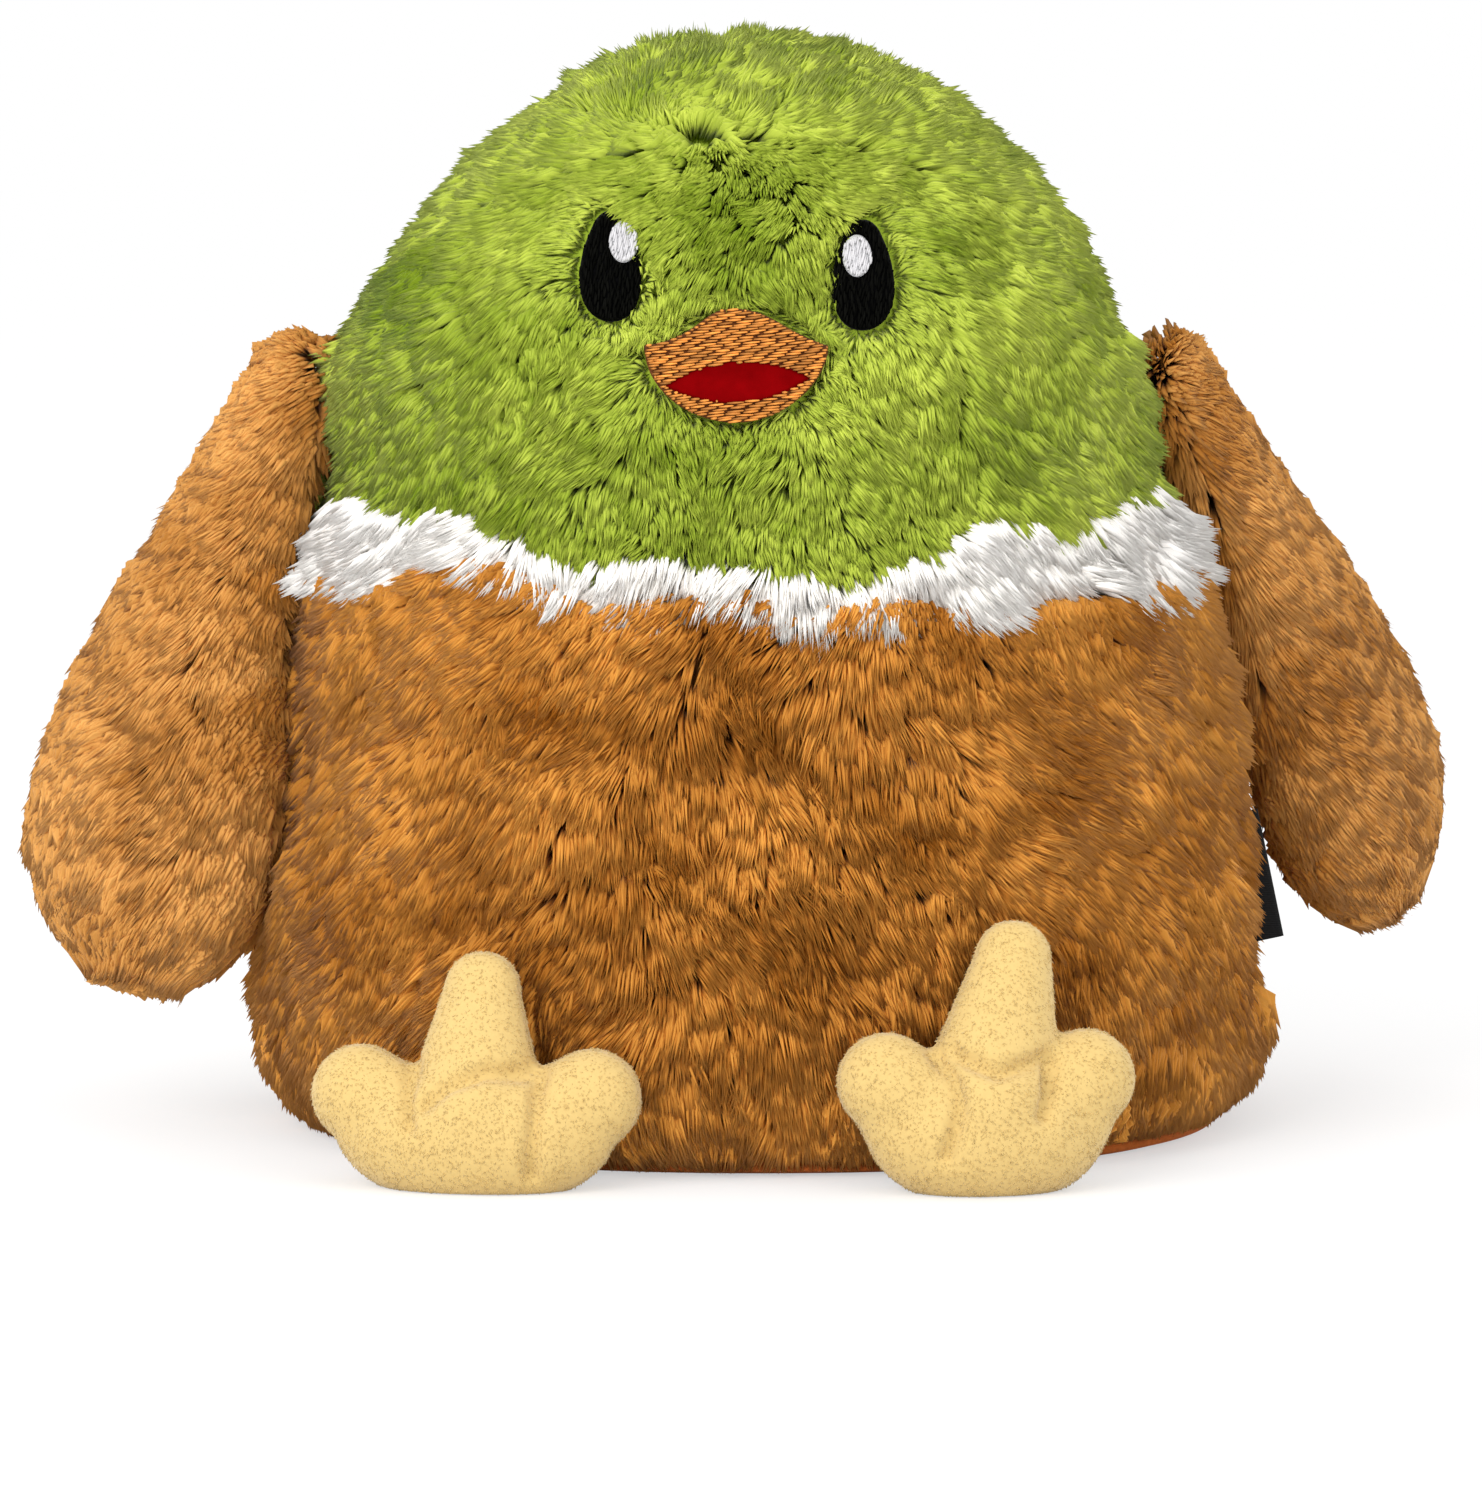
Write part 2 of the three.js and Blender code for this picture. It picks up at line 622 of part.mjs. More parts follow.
// The foot's whole shape, moved out by `grow` and cut flat where it stands.
function footForm(spec, grow, floor) {
  const stretch = new THREE.Vector3(spec.stretchX, 1, spec.stretchZ);
  const mirrored = (toeSpec, side) => ({
    ...toeSpec,
    root: [side * toeSpec.root[0], ...toeSpec.root.slice(1)],
    tip: [side * toeSpec.tip[0], ...toeSpec.tip.slice(1)],
  });
  const block = new THREE.BoxGeometry(200, 200, 200);
  const above = solidOf(block, new THREE.Matrix4().makeTranslation(0, 0, 100 + floor));
  const leaning = { ...MIDDLE_TOE, tip: [spec.lean, ...MIDDLE_TOE.tip.slice(1)] };
  return heel(grow, stretch)
    .add(toe(leaning, grow, stretch))
    .add(toe(mirrored(SIDE_TOE, -1), grow, stretch))
    .add(toe(mirrored(SIDE_TOE, 1), grow, stretch))
    .intersect(above);
}

// Everything in front of the foot's leaning side seam for side -1, or behind it for side 1.
function seamSide(side) {
  const block = new THREE.BoxGeometry(200, 100, 200);
  const pose = new THREE.Matrix4().makeRotationX(radians(-FOOT_LEAN));
  pose.multiply(new THREE.Matrix4().makeTranslation(0, side * (50 + GAP / 2), 0));
  return solidOf(block, pose);
}

// A foot's back lies against the belly, so its form is cut along the torso's surface.
function foot(name, spec) {
  const group = new THREE.Group();
  group.position.set(spec.x, spec.y, 0);
  group.rotation.set(0, 0, radians(spec.turn));
  group.updateMatrix();
  const intoFoot = group.matrix.clone().invert().elements;
  const fitted = (within) => {
    const belly = torsoCore(FOOT_GAP + within, 0, 2 * LUMPY, 60);
    return footForm(spec, -within, within).subtract(belly.transform(intoFoot));
  };
  const cover = fitted(0).subtract(fitted(PLUSH));
  group.add(
    meshOf(`${name}_front_panel`, cover.intersect(seamSide(-1)), PLUSH_YELLOW),
    meshOf(`${name}_back_panel`, cover.intersect(seamSide(1)), PLUSH_YELLOW),
    meshOf(`${name}_filling`, fitted(PLUSH + GAP), FIBRE_WHITE),
  );
  return group;
}

// Label

// Where the label stands: its origin on the seam line, with its own +Z up along the seam.
function labelPose() {
  const [low, high] = [LABEL.bottom, LABEL.top].map((z) => torsoPoint(0, z, -LABEL.depth));
  const seam = high.clone().sub(low);
  return { low, tilt: Math.atan2(seam.x, seam.z), length: seam.length() };
}

function upright(shape, height) {
  const options = { depth: height, bevelEnabled: false, curveSegments: 5 };
  return new THREE.ExtrudeGeometry(shape, options);
}

// The wedge of pile that parts round the label, from just behind its root out past the pile's tips.
function labelParting() {
  const { low, tilt, length } = labelPose();
  const behind = LABEL.opening / 2 + LABEL.ribbon + 0.7;
  const reach = LABEL.reach + 4;
  const spread = (reach + behind) * Math.tan(radians(LABEL_PARTING));
  const wedge = new THREE.Shape();
  wedge.moveTo(-behind, 0);
  wedge.lineTo(reach, -spread);
  wedge.lineTo(reach, spread);
  const pose = new THREE.Matrix4().makeTranslation(...low.toArray());
  pose.multiply(new THREE.Matrix4().makeRotationY(tilt));
  pose.multiply(new THREE.Matrix4().makeTranslation(0, 0, -1));
  return solidOf(upright(wedge, length + 2), pose);
}

// The ribbon's two layers and the fold that joins them, drawn from above and raised along the seam.
function label() {
  const { low, tilt, length } = labelPose();
  const half = LABEL.opening / 2 + LABEL.ribbon;
  const straight = LABEL.reach - half;
  const shape = new THREE.Shape();
  shape.moveTo(0, -half);
  shape.lineTo(straight, -half);
  shape.absarc(straight, 0, half, -Math.PI / 2, Math.PI / 2, false);
  shape.lineTo(0, half);
  shape.lineTo(0, LABEL.opening / 2);
  shape.lineTo(straight, LABEL.opening / 2);
  shape.absarc(straight, 0, LABEL.opening / 2, Math.PI / 2, -Math.PI / 2, true);
  shape.lineTo(0, -LABEL.opening / 2);
  const group = new THREE.Group();
  group.position.copy(low);
  group.rotation.set(0, tilt, 0);
  group.add(meshOf("side_label", solidOf(upright(shape, length)), RIBBON_BLACK, 0.5));
  return group;
}

const duck = new THREE.Group();
duck.add(
  torso(),
  wing("right_wing", -1, RIGHT_WING),
  wing("left_wing", 1, LEFT_WING),
  foot("right_foot", RIGHT_FOOT),
  foot("left_foot", LEFT_FOOT),
  label(),
);

export default duck;
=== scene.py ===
import math
from dataclasses import dataclass

import bmesh
import bpy
import numpy as np
from bpy.props import FloatProperty, FloatVectorProperty, PointerProperty
from mathutils import Matrix, Vector, kdtree


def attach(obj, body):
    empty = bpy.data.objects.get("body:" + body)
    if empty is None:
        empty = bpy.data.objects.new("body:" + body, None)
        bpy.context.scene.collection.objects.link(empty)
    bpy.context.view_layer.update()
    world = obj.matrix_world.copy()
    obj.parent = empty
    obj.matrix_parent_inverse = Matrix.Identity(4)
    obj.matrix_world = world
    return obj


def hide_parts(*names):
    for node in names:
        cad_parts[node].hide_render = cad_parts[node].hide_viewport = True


bl_info = {
    "name": "Plush Duck",
    "version": (1, 0, 0),
    "blender": (4, 5, 0),
    "location": "View3D > Sidebar > Plush Duck",
    "description": "Grows the fur and sews the face, feet and label of a plush duck",
    "category": "Object",
}

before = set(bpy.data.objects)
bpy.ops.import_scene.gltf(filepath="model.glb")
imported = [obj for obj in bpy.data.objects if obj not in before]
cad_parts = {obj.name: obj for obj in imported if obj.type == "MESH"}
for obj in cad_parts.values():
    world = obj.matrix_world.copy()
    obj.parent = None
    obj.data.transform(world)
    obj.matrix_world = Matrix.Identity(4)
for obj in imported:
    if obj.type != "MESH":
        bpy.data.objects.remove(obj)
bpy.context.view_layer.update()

MM = 0.001
TAU = 2 * math.pi

# The torso's outline, as in the CAD source: half-width, lean and height, from the floor to the crown
OUTLINE = (
    (90, 4, 0), (99.5, 4.4, 9), (103.5, 4.8, 28), (102.5, 4.5, 45), (97, 3.4, 70), (89, 1.8, 104),
    (82.5, 0.6, 126), (79, -1.4, 156), (66, 0.6, 181), (43.5, 2.2, 204), (23.5, 1.8, 215),
    (0, 1.4, 219),
)
CROWN = 219 * MM
DEPTH_AT_BASE = 0.9
DEPTH_AT_CROWN = 0.82
SQUARENESS = 2.2
BASE_TOP = 4 * MM

# Cloth: how thick it is, and how full of filling the soft forms are, from 0 to 1
CLOTH = 0.8 * MM
WING_CLOTH = 0.6 * MM
TORSO_FILL = 0.8
WING_FILL = 0.7
FOOT_FILL = 0.85

# Seams round the torso: height at the sides and how far each dips at the front
COLLAR_TOP = (122 * MM, 10 * MM)
COLLAR_BOTTOM = (105 * MM, 2.5 * MM)
FOREHEAD_SIDE = 163 * MM
FOREHEAD_MIDDLE = 199 * MM
# Where the front shows the green fur end over the white, and the white over the brown: place across
# and height. The cloth is sewn this much higher, because its fur hangs over the seam.
GREEN_EDGE = (
    (-86, 125), (-70, 122), (-59, 123), (-46, 119.5), (-36, 114), (-14, 115.5), (4, 114),
    (18, 111), (31, 114), (44, 118.5), (49, 122.5), (60, 120), (73, 121), (83, 126),
)
WHITE_EDGE = (
    (-88, 106), (-70, 106.5), (-57, 112), (-45, 110.5), (-34, 105.5), (-26, 103), (-8, 106.5),
    (5, 105), (15, 101), (22, 104.5), (55, 102.5), (67, 106), (77, 103.5), (90, 107),
)
GREEN_HANG = 4 * MM
WHITE_HANG = 6.7 * MM
SEAM_ALLOWANCE = 3 * MM
# Parting of the fur over the forehead: its ends across, where it lies in depth and height, and how
# many degrees the fur rises there
PARTING_ENDS = (-15, 11)
PARTING_DEPTH = -42
PARTING_HEIGHT = 200
PARTING_RISE = 26
# Middle of the head, towards which its fur is held in
HEAD_X = 1.4 * MM
HEAD_Z = 130 * MM

# Soft lumps of the body between its seams: distance between each wave's crests, its way and start
LUMP_HEIGHT = 0.75
LUMP_DEPTH = 1
LUMPS = (
    (44, (0.75, 0.3, 0.6), 0.3),
    (50, (-0.55, 0.5, 0.67), 2.1),
    (38, (0.9, -0.4, -0.15), 4),
    (41, (0.2, 0.8, 0.57), 5.2),
    (33, (-0.3, 0.25, 0.92), 1.2),
)
# Soft creases of the belly, seen from the front: start, end and half-width
CREASES = (
    ((-40, 91), (6, 87), 5),
    ((-67, 55), (-50, 53), 5),
    ((-25, 37), (10, 58), 5.5),
    ((30, 66), (52, 74), 5),
)
CREASE_DEPTH = 2.4

# Embroidery: middle of each eye and the place of its glint, and the beak and mouth
RIGHT_EYE = (-25, 172.2)
LEFT_EYE = (23.4, 170.5)
RIGHT_GLINT = (2.5, 4)
LEFT_GLINT = (-1.2, 3)
EYE_SIZE = (12.4, 22)
GLINT_SIZE = (5.6, 8)
BEAK_X = -0.9
BEAK_MIDDLE = 152.6
BEAK_HALF_WIDTH = 17.5
BEAK_PEAK = 11
BEAK_LIP = 10.5
MOUTH_MIDDLE = (-0.6, 149.8)
MOUTH_SLANT = 0.8
MOUTH_HALF_WIDTH = 13.5
MOUTH_HALF_HEIGHT = 3.7
# Each ground cloth: how far out it lies, its dome and its thickness
EYE_GROUND = (-5.4, 0.6, 0.8)
GLINT_GROUND = (-4.6, 0.7, 0.6)
BEAK_GROUND = (-3.4, 0.5, 0.8)
MOUTH_GROUND = (-2.9, 0.5, 0.6)
# Form of one stitch: shares of its length, and of its width there
STITCH = ((0, 0), (0.08, 0.75), (0.5, 1), (0.92, 0.75), (1, 0))
# Stitches: degrees from level, distance between rows, length, how far out, and unevenness
EYE_STITCHES = dict(slant=84, pitch=0.42, length=2.4, out=-4.4, loose=0.4)
GLINT_STITCHES = dict(slant=78, pitch=0.36, length=3.2, out=-3.6, loose=0.2)
BEAK_STITCHES = dict(slant=6, pitch=0.5, out=-2.3, loose=0.12)

# Wing: half-width at each distance below the shoulder, and how each wing hangs
WING_OUTLINE = (
    (0, -9), (6.2, -6.8), (8.4, 1), (10.4, 14), (14.2, 34), (18.9, 52),
    (23, 72), (25, 87), (23.8, 104), (18, 115.5), (10.5, 121.5), (0, 124),
)
WING_THICKNESS = 0.62
WING_BOW = 6 * MM
WING_TIP = 124 * MM
WING_TOP = 9.5 * MM
# Where the wings' fur fans out from: across and height
FAN_X = 67 * MM
FAN_Z = 150 * MM
SHOULDER_HEIGHT = 148 * MM
WINGS = {
    "right_wing": dict(side=-1, x=-90.6, y=-6, splay=14, swing=-9, twist=12),
    "left_wing": dict(side=1, x=88.5, y=4, splay=22.5, swing=16, twist=52),
}

# Feet: the heel, and the ends and radii of the toes, before each foot's own stretch
HEEL = dict(y=2, z=11.8, half_width=25, half_height=14.2, half_depth=14)
SIDE_TOE = dict(root=(9, 0, 12), tip=(20.8, 2, 18.8), root_radius=10, tip_radius=9.5)
MIDDLE_TOE = dict(root=(0, 0, 14), tip=(0, 6, 38.4), root_radius=14.2, tip_radius=7.4)
TOE_STRETCH = (1, 0.86, 1)
FEET = {
    "right_foot": dict(x=-49.9, y=-96, wide=1.06, tall=1, turn=-9, lean=0.5),
    "left_foot": dict(x=46.1, y=-99.5, wide=0.91, tall=1.14, turn=9, lean=6.4),
}
# The filling settles: how far each foot's form sinks on to its flat underside, and its fuller sides
FOOT_SINK = {"right_foot": 1.5, "left_foot": 0.7}
SIDE_PAD = dict(middle=(17, 1, 13), radius=8.8)
# Creases of each foot, seen from the front: beside the toes, and across the middle toe's root
FOOT_CREASES = {
    "right_foot": (
        ((-11.2, 23), (-11.3, 18.5), (-10.5, 13)),
        ((13, 23), (13.5, 15), (12.5, 4)),
        ((-8, 17), (-3, 21), (4, 23.3), (12, 22.6)),
    ),
    "left_foot": (
        ((-10.4, 27), (-8, 22), (-7.5, 16.4), (-10, 8.2)),
        ((10.7, 25.5), (10.2, 19.7), (8.6, 15.6)),
        ((-7.5, 26.7), (0, 23.8), (9.8, 25.9)),
    ),
}
# Depth and half-width of those creases, and how deep and wide the seam along each side is drawn in
CREASE_IN_PLUSH = (2.3, 1.5)
FOOT_SEAM_DEPTH = 0.25
FOOT_SEAM_WIDTH = 0.12
# Side label: its ends and root in the seam, and the ribbon folded in two
LABEL = dict(bottom=35.2, top=61.8, depth=5, reach=7.6, half_opening=0.42, root=1.5, ribbon=0.252)
# How far the body's cloth is drawn in beside the label
LABEL_DENT = 3.4
# Base panel: share of the way to its edge, and level, from the middle below to the middle above
BASE_PROFILE = (
    (0, 0.2), (0.5, 0.2), (0.96, 0.3), (0.995, 1.2), (0.995, 2.9), (0.96, 3.7), (0.5, 3.8), (0, 3.8),
)

# Lamps in metres: place, and share of the key light; and the camera's place and what it looks at
LAMPS = (("key", (-0.85, -1.35, 0.85), 1.0), ("side", (0.9, -1.2, 0.6), 0.3))
LAMP_SIZE = 1.1
LAMP_AIM = (0, 0, 0.1)
CAMERA_PLACE = (0, -1.3, 0.193)
CAMERA_AIM = (0, 0, 0.0737)
FLOOR_GREY = 0.8
# Share of the open floor's white that is its own, so that its shadows stay faint
FLOOR_GLOW = 0.42

# Torso fur that fills the gap to a wing: how much further out it may stand, how many degrees it
# rises, and how much longer it grows, where the face and collar differ from the rest
GAP_PROUD = 3.4 * MM
GAP_RISE = 26
COLLAR_GAP_RISE = 22
GAP_LENGTH = 0.3
FRONT_GAP_LENGTH = 0.35

# Where each piece's random draws start
SEEDS = dict(
    body_roots=10, body=20, head_roots=11, head=40, collar_roots=12, collar=60,
    wings=80, eyes=90, glints=94, beak=98, feet=110,
)


# Curves and surfaces


def smooth_curve(knots, samples=1600):
    """Points along a centripetal curve through the knots."""
    knots = np.asarray(knots, float) * MM
    ends = np.vstack([2 * knots[0] - knots[1], knots, 2 * knots[-1] - knots[-2]])
    along = np.linspace(0, len(knots) - 1, samples)
    span = np.minimum(along.astype(int), len(knots) - 2)
    t = (along - span)[:, None]
    before, first, second, after = (ends[span + i] for i in range(4))

    def spacing(a, b):
        return np.sqrt(np.maximum(np.linalg.norm(b - a, axis=1), 1e-9))[:, None]

    d0, d1, d2 = spacing(before, first), spacing(first, second), spacing(second, after)
    way_in = ((first - before) / d0 - (second - before) / (d0 + d1)) * d1 + second - first
    way_out = ((after - second) / d2 - (after - first) / (d1 + d2)) * d1 + second - first
    rise = second - first
    bend, twist = 3 * rise - 2 * way_in - way_out, way_in + way_out - 2 * rise
    return first + way_in * t + bend * t**2 + twist * t**3


def ways_along(points):
    """Which way a curve runs at each of its points."""
    ways = np.gradient(points, axis=0)
    return ways / np.linalg.norm(ways, axis=1, keepdims=True)


def lengths_along(points):
    """The length of a curve from its start to each of its points."""
    steps = np.linalg.norm(np.diff(points, axis=0), axis=1)
    return np.concatenate([[0], np.cumsum(steps)])


TORSO_CURVE = smooth_curve(OUTLINE)
TORSO_RISE = np.maximum.accumulate(TORSO_CURVE[:, 2])
TORSO_WAY = ways_along(TORSO_CURVE[:, [0, 2]])
TORSO_LENGTH = lengths_along(TORSO_CURVE[:, [0, 2]])
WING_CURVE = smooth_curve(WING_OUTLINE)
WING_WAY = ways_along(WING_CURVE)
WING_LENGTH = lengths_along(WING_CURVE)


def rounded(value):
    """A sine or cosine, changed so that its circle becomes a slightly square one."""
    return np.sign(value) * np.abs(value) ** (2 / SQUARENESS)


def section_at(height):
    """Half-width, lean, and depth over width of the torso at each height."""
    half, lean = (np.interp(height, TORSO_RISE, TORSO_CURVE[:, k]) for k in (0, 1))
    return half, lean, DEPTH_AT_BASE + (DEPTH_AT_CROWN - DEPTH_AT_BASE) * height / CROWN


def way_at(height):
    """Which way the torso's outline runs at each height: sideways and up."""
    return [np.interp(height, TORSO_RISE, TORSO_WAY[:, k]) for k in (0, 1)]


def torso_points(angle, height, out):
    """Points of the torso, moved out from the pile's tips; the angle runs from +X by the back."""
    way_x, way_z = way_at(height)
    half, lean, depth = section_at(height)
    across = np.maximum(0.0, half + out * way_z)
    x = across * rounded(np.cos(angle)) + lean
    y = across * depth * rounded(np.sin(angle))
    return np.stack([x, y, height - out * way_x], axis=-1)


def unit(vectors):
    return vectors / np.maximum(np.linalg.norm(vectors, axis=-1, keepdims=True), 1e-12)


def torso_normals(angle, height):
    east = torso_points(angle + 0.01, height, 0.0) - torso_points(angle - 0.01, height, 0.0)
    up = torso_points(angle, height + 0.4 * MM, 0.0) - torso_points(angle, height - 0.4 * MM, 0.0)
    return unit(np.cross(unit(east), unit(up)))


def faded(gap, width):
    """1 where the gap is nothing, fading out over about the width."""
    return np.exp(-((gap / width) ** 2))


def gap_to(points, start, end):
    """How far each point lies from the straight line between two places."""
    start, way = np.array(start, float), np.subtract(end, start)
    along = np.clip((points - start) @ way / (way @ way), 0, 1)[:, None]
    return np.linalg.norm(points - (start + along * way), axis=1)


def share_of(value, start, end):
    """How far a value has come from its start to its end, from 0 to 1."""
    return np.clip((value - start) / (end - start), 0, 1)


def face_points(x, z, out):
    """Points on the front of the torso straight behind places of its front view."""
    x, z, out = np.broadcast_arrays(np.asarray(x, float), np.asarray(z, float), np.asarray(out, float))
    height = z.copy()
    for _ in range(4):
        height = z + out * way_at(height)[0]
    half, lean, depth = section_at(height)
    half = half + out * way_at(height)[1]
    cosine = np.clip(np.abs(x - lean) / half, 0, 0.999) ** (SQUARENESS / 2)
    return np.stack([x, -half * depth * rounded(np.sqrt(1 - cosine**2)), z], axis=-1)


def seam_height(seam, angle):
    """Height of a seam, which is lower at the front than at the sides."""
    side, dip = seam
    return side - dip * np.maximum(0, -np.sin(angle)) ** 2


def forehead_height(angle):
    """Height of the seam over the forehead, which rises to the middle."""
    rise = np.maximum(0, -np.sin(angle)) ** 0.8
    return FOREHEAD_SIDE + (FOREHEAD_MIDDLE - FOREHEAD_SIDE) * rise


def bow_at(down):
    """How far a wing bows outwards at each distance below the shoulder."""
    return WING_BOW * np.sin(np.clip(down / WING_TIP, 0, 1) * math.pi)


def wing_local(side, turn, share, out):
    """Points of a wing before it is hung: turn runs round it from 0 to 1, share down its curve."""
    index, steps = share * (len(WING_CURVE) - 1), np.arange(len(WING_CURVE))
    lines = (*WING_CURVE.T, *WING_WAY.T)
    half, down, way_x, way_down = (np.interp(index, steps, line) for line in lines)
    across = np.maximum(0, half + out * way_down)
    thick = np.maximum(0, half * WING_THICKNESS + out * way_down)
    z = -down + out * way_x
    x = across * np.cos(turn * TAU) + side * bow_at(-z)
    return np.stack([x, thick * np.sin(turn * TAU), z], axis=-1)


def wing_cloth(side, turn, share):
    """Points of a wing's cloth, which lies less deep below its fur towards the narrow ends."""
    half = np.interp(share, np.linspace(0, 1, len(WING_CURVE)), WING_CURVE[:, 0])
    return wing_local(side, turn, share, -np.minimum(4 * MM, 0.3 * half))


def wing_pose(wing):
    """Where a wing hangs: turned about its length, swung forwards or back, and splayed."""
    turn = Matrix.Rotation(math.radians(-wing["side"] * wing["splay"]), 4, "Y")
    turn = turn @ Matrix.Rotation(math.radians(wing["swing"]), 4, "X")
    turn = turn @ Matrix.Rotation(math.radians(wing["side"] * wing["twist"]), 4, "Z")
    return Matrix.Translation((wing["x"] * MM, wing["y"] * MM, SHOULDER_HEIGHT)) @ turn


def moved(points, pose):
    """The points after a pose's turn and shift."""
    pose = np.array(pose)
    return points @ pose[:3, :3].T + pose[:3, 3]


def ripple(points, size, seed, waves=16):
    """Smooth random values about 0, with lumps of the given size, at each of the points."""
    dice = np.random.default_rng(seed)
    ways = unit(dice.normal(size=(waves, 3))) * TAU / size
    phases = dice.uniform(0, TAU, waves)
    return np.sin(points @ ways.T + phases).sum(-1) * math.sqrt(2 / waves)


# Meshes


def new_object(name, mesh, material):
    """Puts a mesh into the scene with its material."""
    piece = bpy.data.objects.new(name, mesh)
    bpy.context.scene.collection.objects.link(piece)
    mesh.materials.append(material)
    return piece


def finished(name, bm, material, smooth=True):
    """Turns a bmesh into a piece."""
    mesh = bpy.data.meshes.new(name)
    bm.to_mesh(mesh)
    bm.free()
    mesh.shade_smooth() if smooth else mesh.shade_flat()
    return new_object(name, mesh, material)


def sheet_mesh(columns, rows, place, thickness):
    """A grid moved by place(u, v), closed where it meets itself, and given a thickness inwards."""
    bm = bmesh.new()
    bmesh.ops.create_grid(bm, x_segments=columns, y_segments=rows, size=1)
    at = np.array([vert.co for vert in bm.verts])
    points = place((at[:, 0] + 1) / 2, (at[:, 1] + 1) / 2)
    for vert, point in zip(bm.verts, points):
        vert.co = point
    bmesh.ops.remove_doubles(bm, verts=bm.verts, dist=0.01 * MM)
    bmesh.ops.dissolve_degenerate(bm, edges=bm.edges, dist=0.005 * MM)
    bmesh.ops.recalc_face_normals(bm, faces=bm.faces)
    if thickness:
        bmesh.ops.solidify(bm, geom=bm.faces[:], thickness=thickness)
        bmesh.ops.recalc_face_normals(bm, faces=bm.faces)
    return bm


def spindle_template(sides, stations):
    """A closed spindle of rings: each station is a share of its length and of its width."""
    bm = bmesh.new()
    for (low, low_width), (high, high_width) in zip(stations, stations[1:]):
        bmesh.ops.create_cone(
            bm, cap_ends=False, segments=sides, radius1=low_width / 2, radius2=high_width / 2,
            depth=high - low, matrix=Matrix.Translation((0, 0, (low + high) / 2)),
        )
    bmesh.ops.remove_doubles(bm, verts=bm.verts, dist=1e-4)
    bmesh.ops.recalc_face_normals(bm, faces=bm.faces)
    bmesh.ops.triangulate(bm, faces=bm.faces)
    return template_of(bm)


def template_of(bm):
    """Corners and faces of a bmesh, to copy many times."""
    bm.verts.index_update()
    verts = np.array([vert.co for vert in bm.verts])
    faces = np.array([[vert.index for vert in face.verts] for face in bm.faces])
    bm.free()
    return verts, faces


def copies_mesh(name, template, starts, middles, ends, widths, tones, material, facing):
    """Copies of a template, each bent through its three points, with its tone along the map's U."""
    verts, faces = template
    count = len(starts)
    t = verts[:, 2][None, :, None]
    control = 2 * middles - (starts + ends) / 2
    line = (1 - t) ** 2 * starts[:, None] + 2 * t * (1 - t) * control[:, None] + t**2 * ends[:, None]
    way = unit(ends - starts)
    side = unit(np.cross(facing, way))
    across = np.cross(way, side)
    offset = verts[None, :, 0, None] * side[:, None] + verts[None, :, 1, None] * across[:, None]
    places = line + offset * widths[:, None, None]
    corners = (faces[None] + (np.arange(count) * len(verts))[:, None, None]).reshape(-1, 3)
    mesh = bpy.data.meshes.new(name)
    mesh.from_pydata(places.reshape(-1, 3), [], corners)
    tone = np.clip(tones, 0.01, 0.99)[:, None] + verts[None, :, 0] * 0.006
    along = np.broadcast_to(0.01 + 0.98 * verts[None, :, 2], tone.shape)
    fibre_map = np.stack([tone, along], axis=-1).reshape(-1, 2)[corners.reshape(-1)]
    mesh.uv_layers.new(name="OFBake")
    mesh.uv_layers["OFBake"].data.foreach_set("uv", fibre_map.astype(np.float32).reshape(-1))
    mesh.shade_smooth()
    return new_object(name, mesh, material)


def lock_template():
    """A lock of hair: a slim closed blade that bends outwards at its widest place."""
    bm = bmesh.new()
    bmesh.ops.create_cone(bm, cap_ends=True, segments=3, radius1=1, radius2=0, depth=1)
    shape = ((0, 0, 0), (-0.5, 0.16, 0.55), (0.5, 0.16, 0.55), (0, 0, 1))
    for vert, place in zip(bm.verts, shape):
        vert.co = place
    bmesh.ops.recalc_face_normals(bm, faces=bm.faces)
    return template_of(bm)


@dataclass
class Pile:
    """How one stretch of fur grows. Angles are degrees from straight out of the cloth."""

    length: float
    lean: float
    spacing: float
    width: float = 0.46 * MM
    bend: float = 12
    length_spread: float = 0.08
    lean_spread: float = 5
    swirl: float = 12
    swirl_size: float = 26 * MM
    stray: float = 8
    tuft: float = 1.6 * MM
    gather: float = 0.34
    lock: float = 5.5 * MM
    lock_gather: float = 0.14


def tilted(normals, flow, degrees):
    """Ways leaning from the normals towards the flow."""
    turn = np.radians(degrees)[:, None]
    return normals * np.cos(turn) + flow * np.sin(turn)


def tuft_middles(roots, share, dice):
    """Picks a share of the roots as the middles of tufts, and finds each root's own."""
    picked = dice.choice(len(roots), max(6, int(len(roots) * min(1, share))), replace=False)
    tree = kdtree.KDTree(len(picked))
    for index, root in enumerate(roots[picked]):
        tree.insert(root, index)
    tree.balance()
    own = np.array([tree.find(root)[1] for root in roots])
    return picked[own], own, len(picked)


def along_cloth(flow, normals):
    """The part of each way that runs along the cloth."""
    return unit(flow - (flow * normals).sum(1, keepdims=True) * normals)


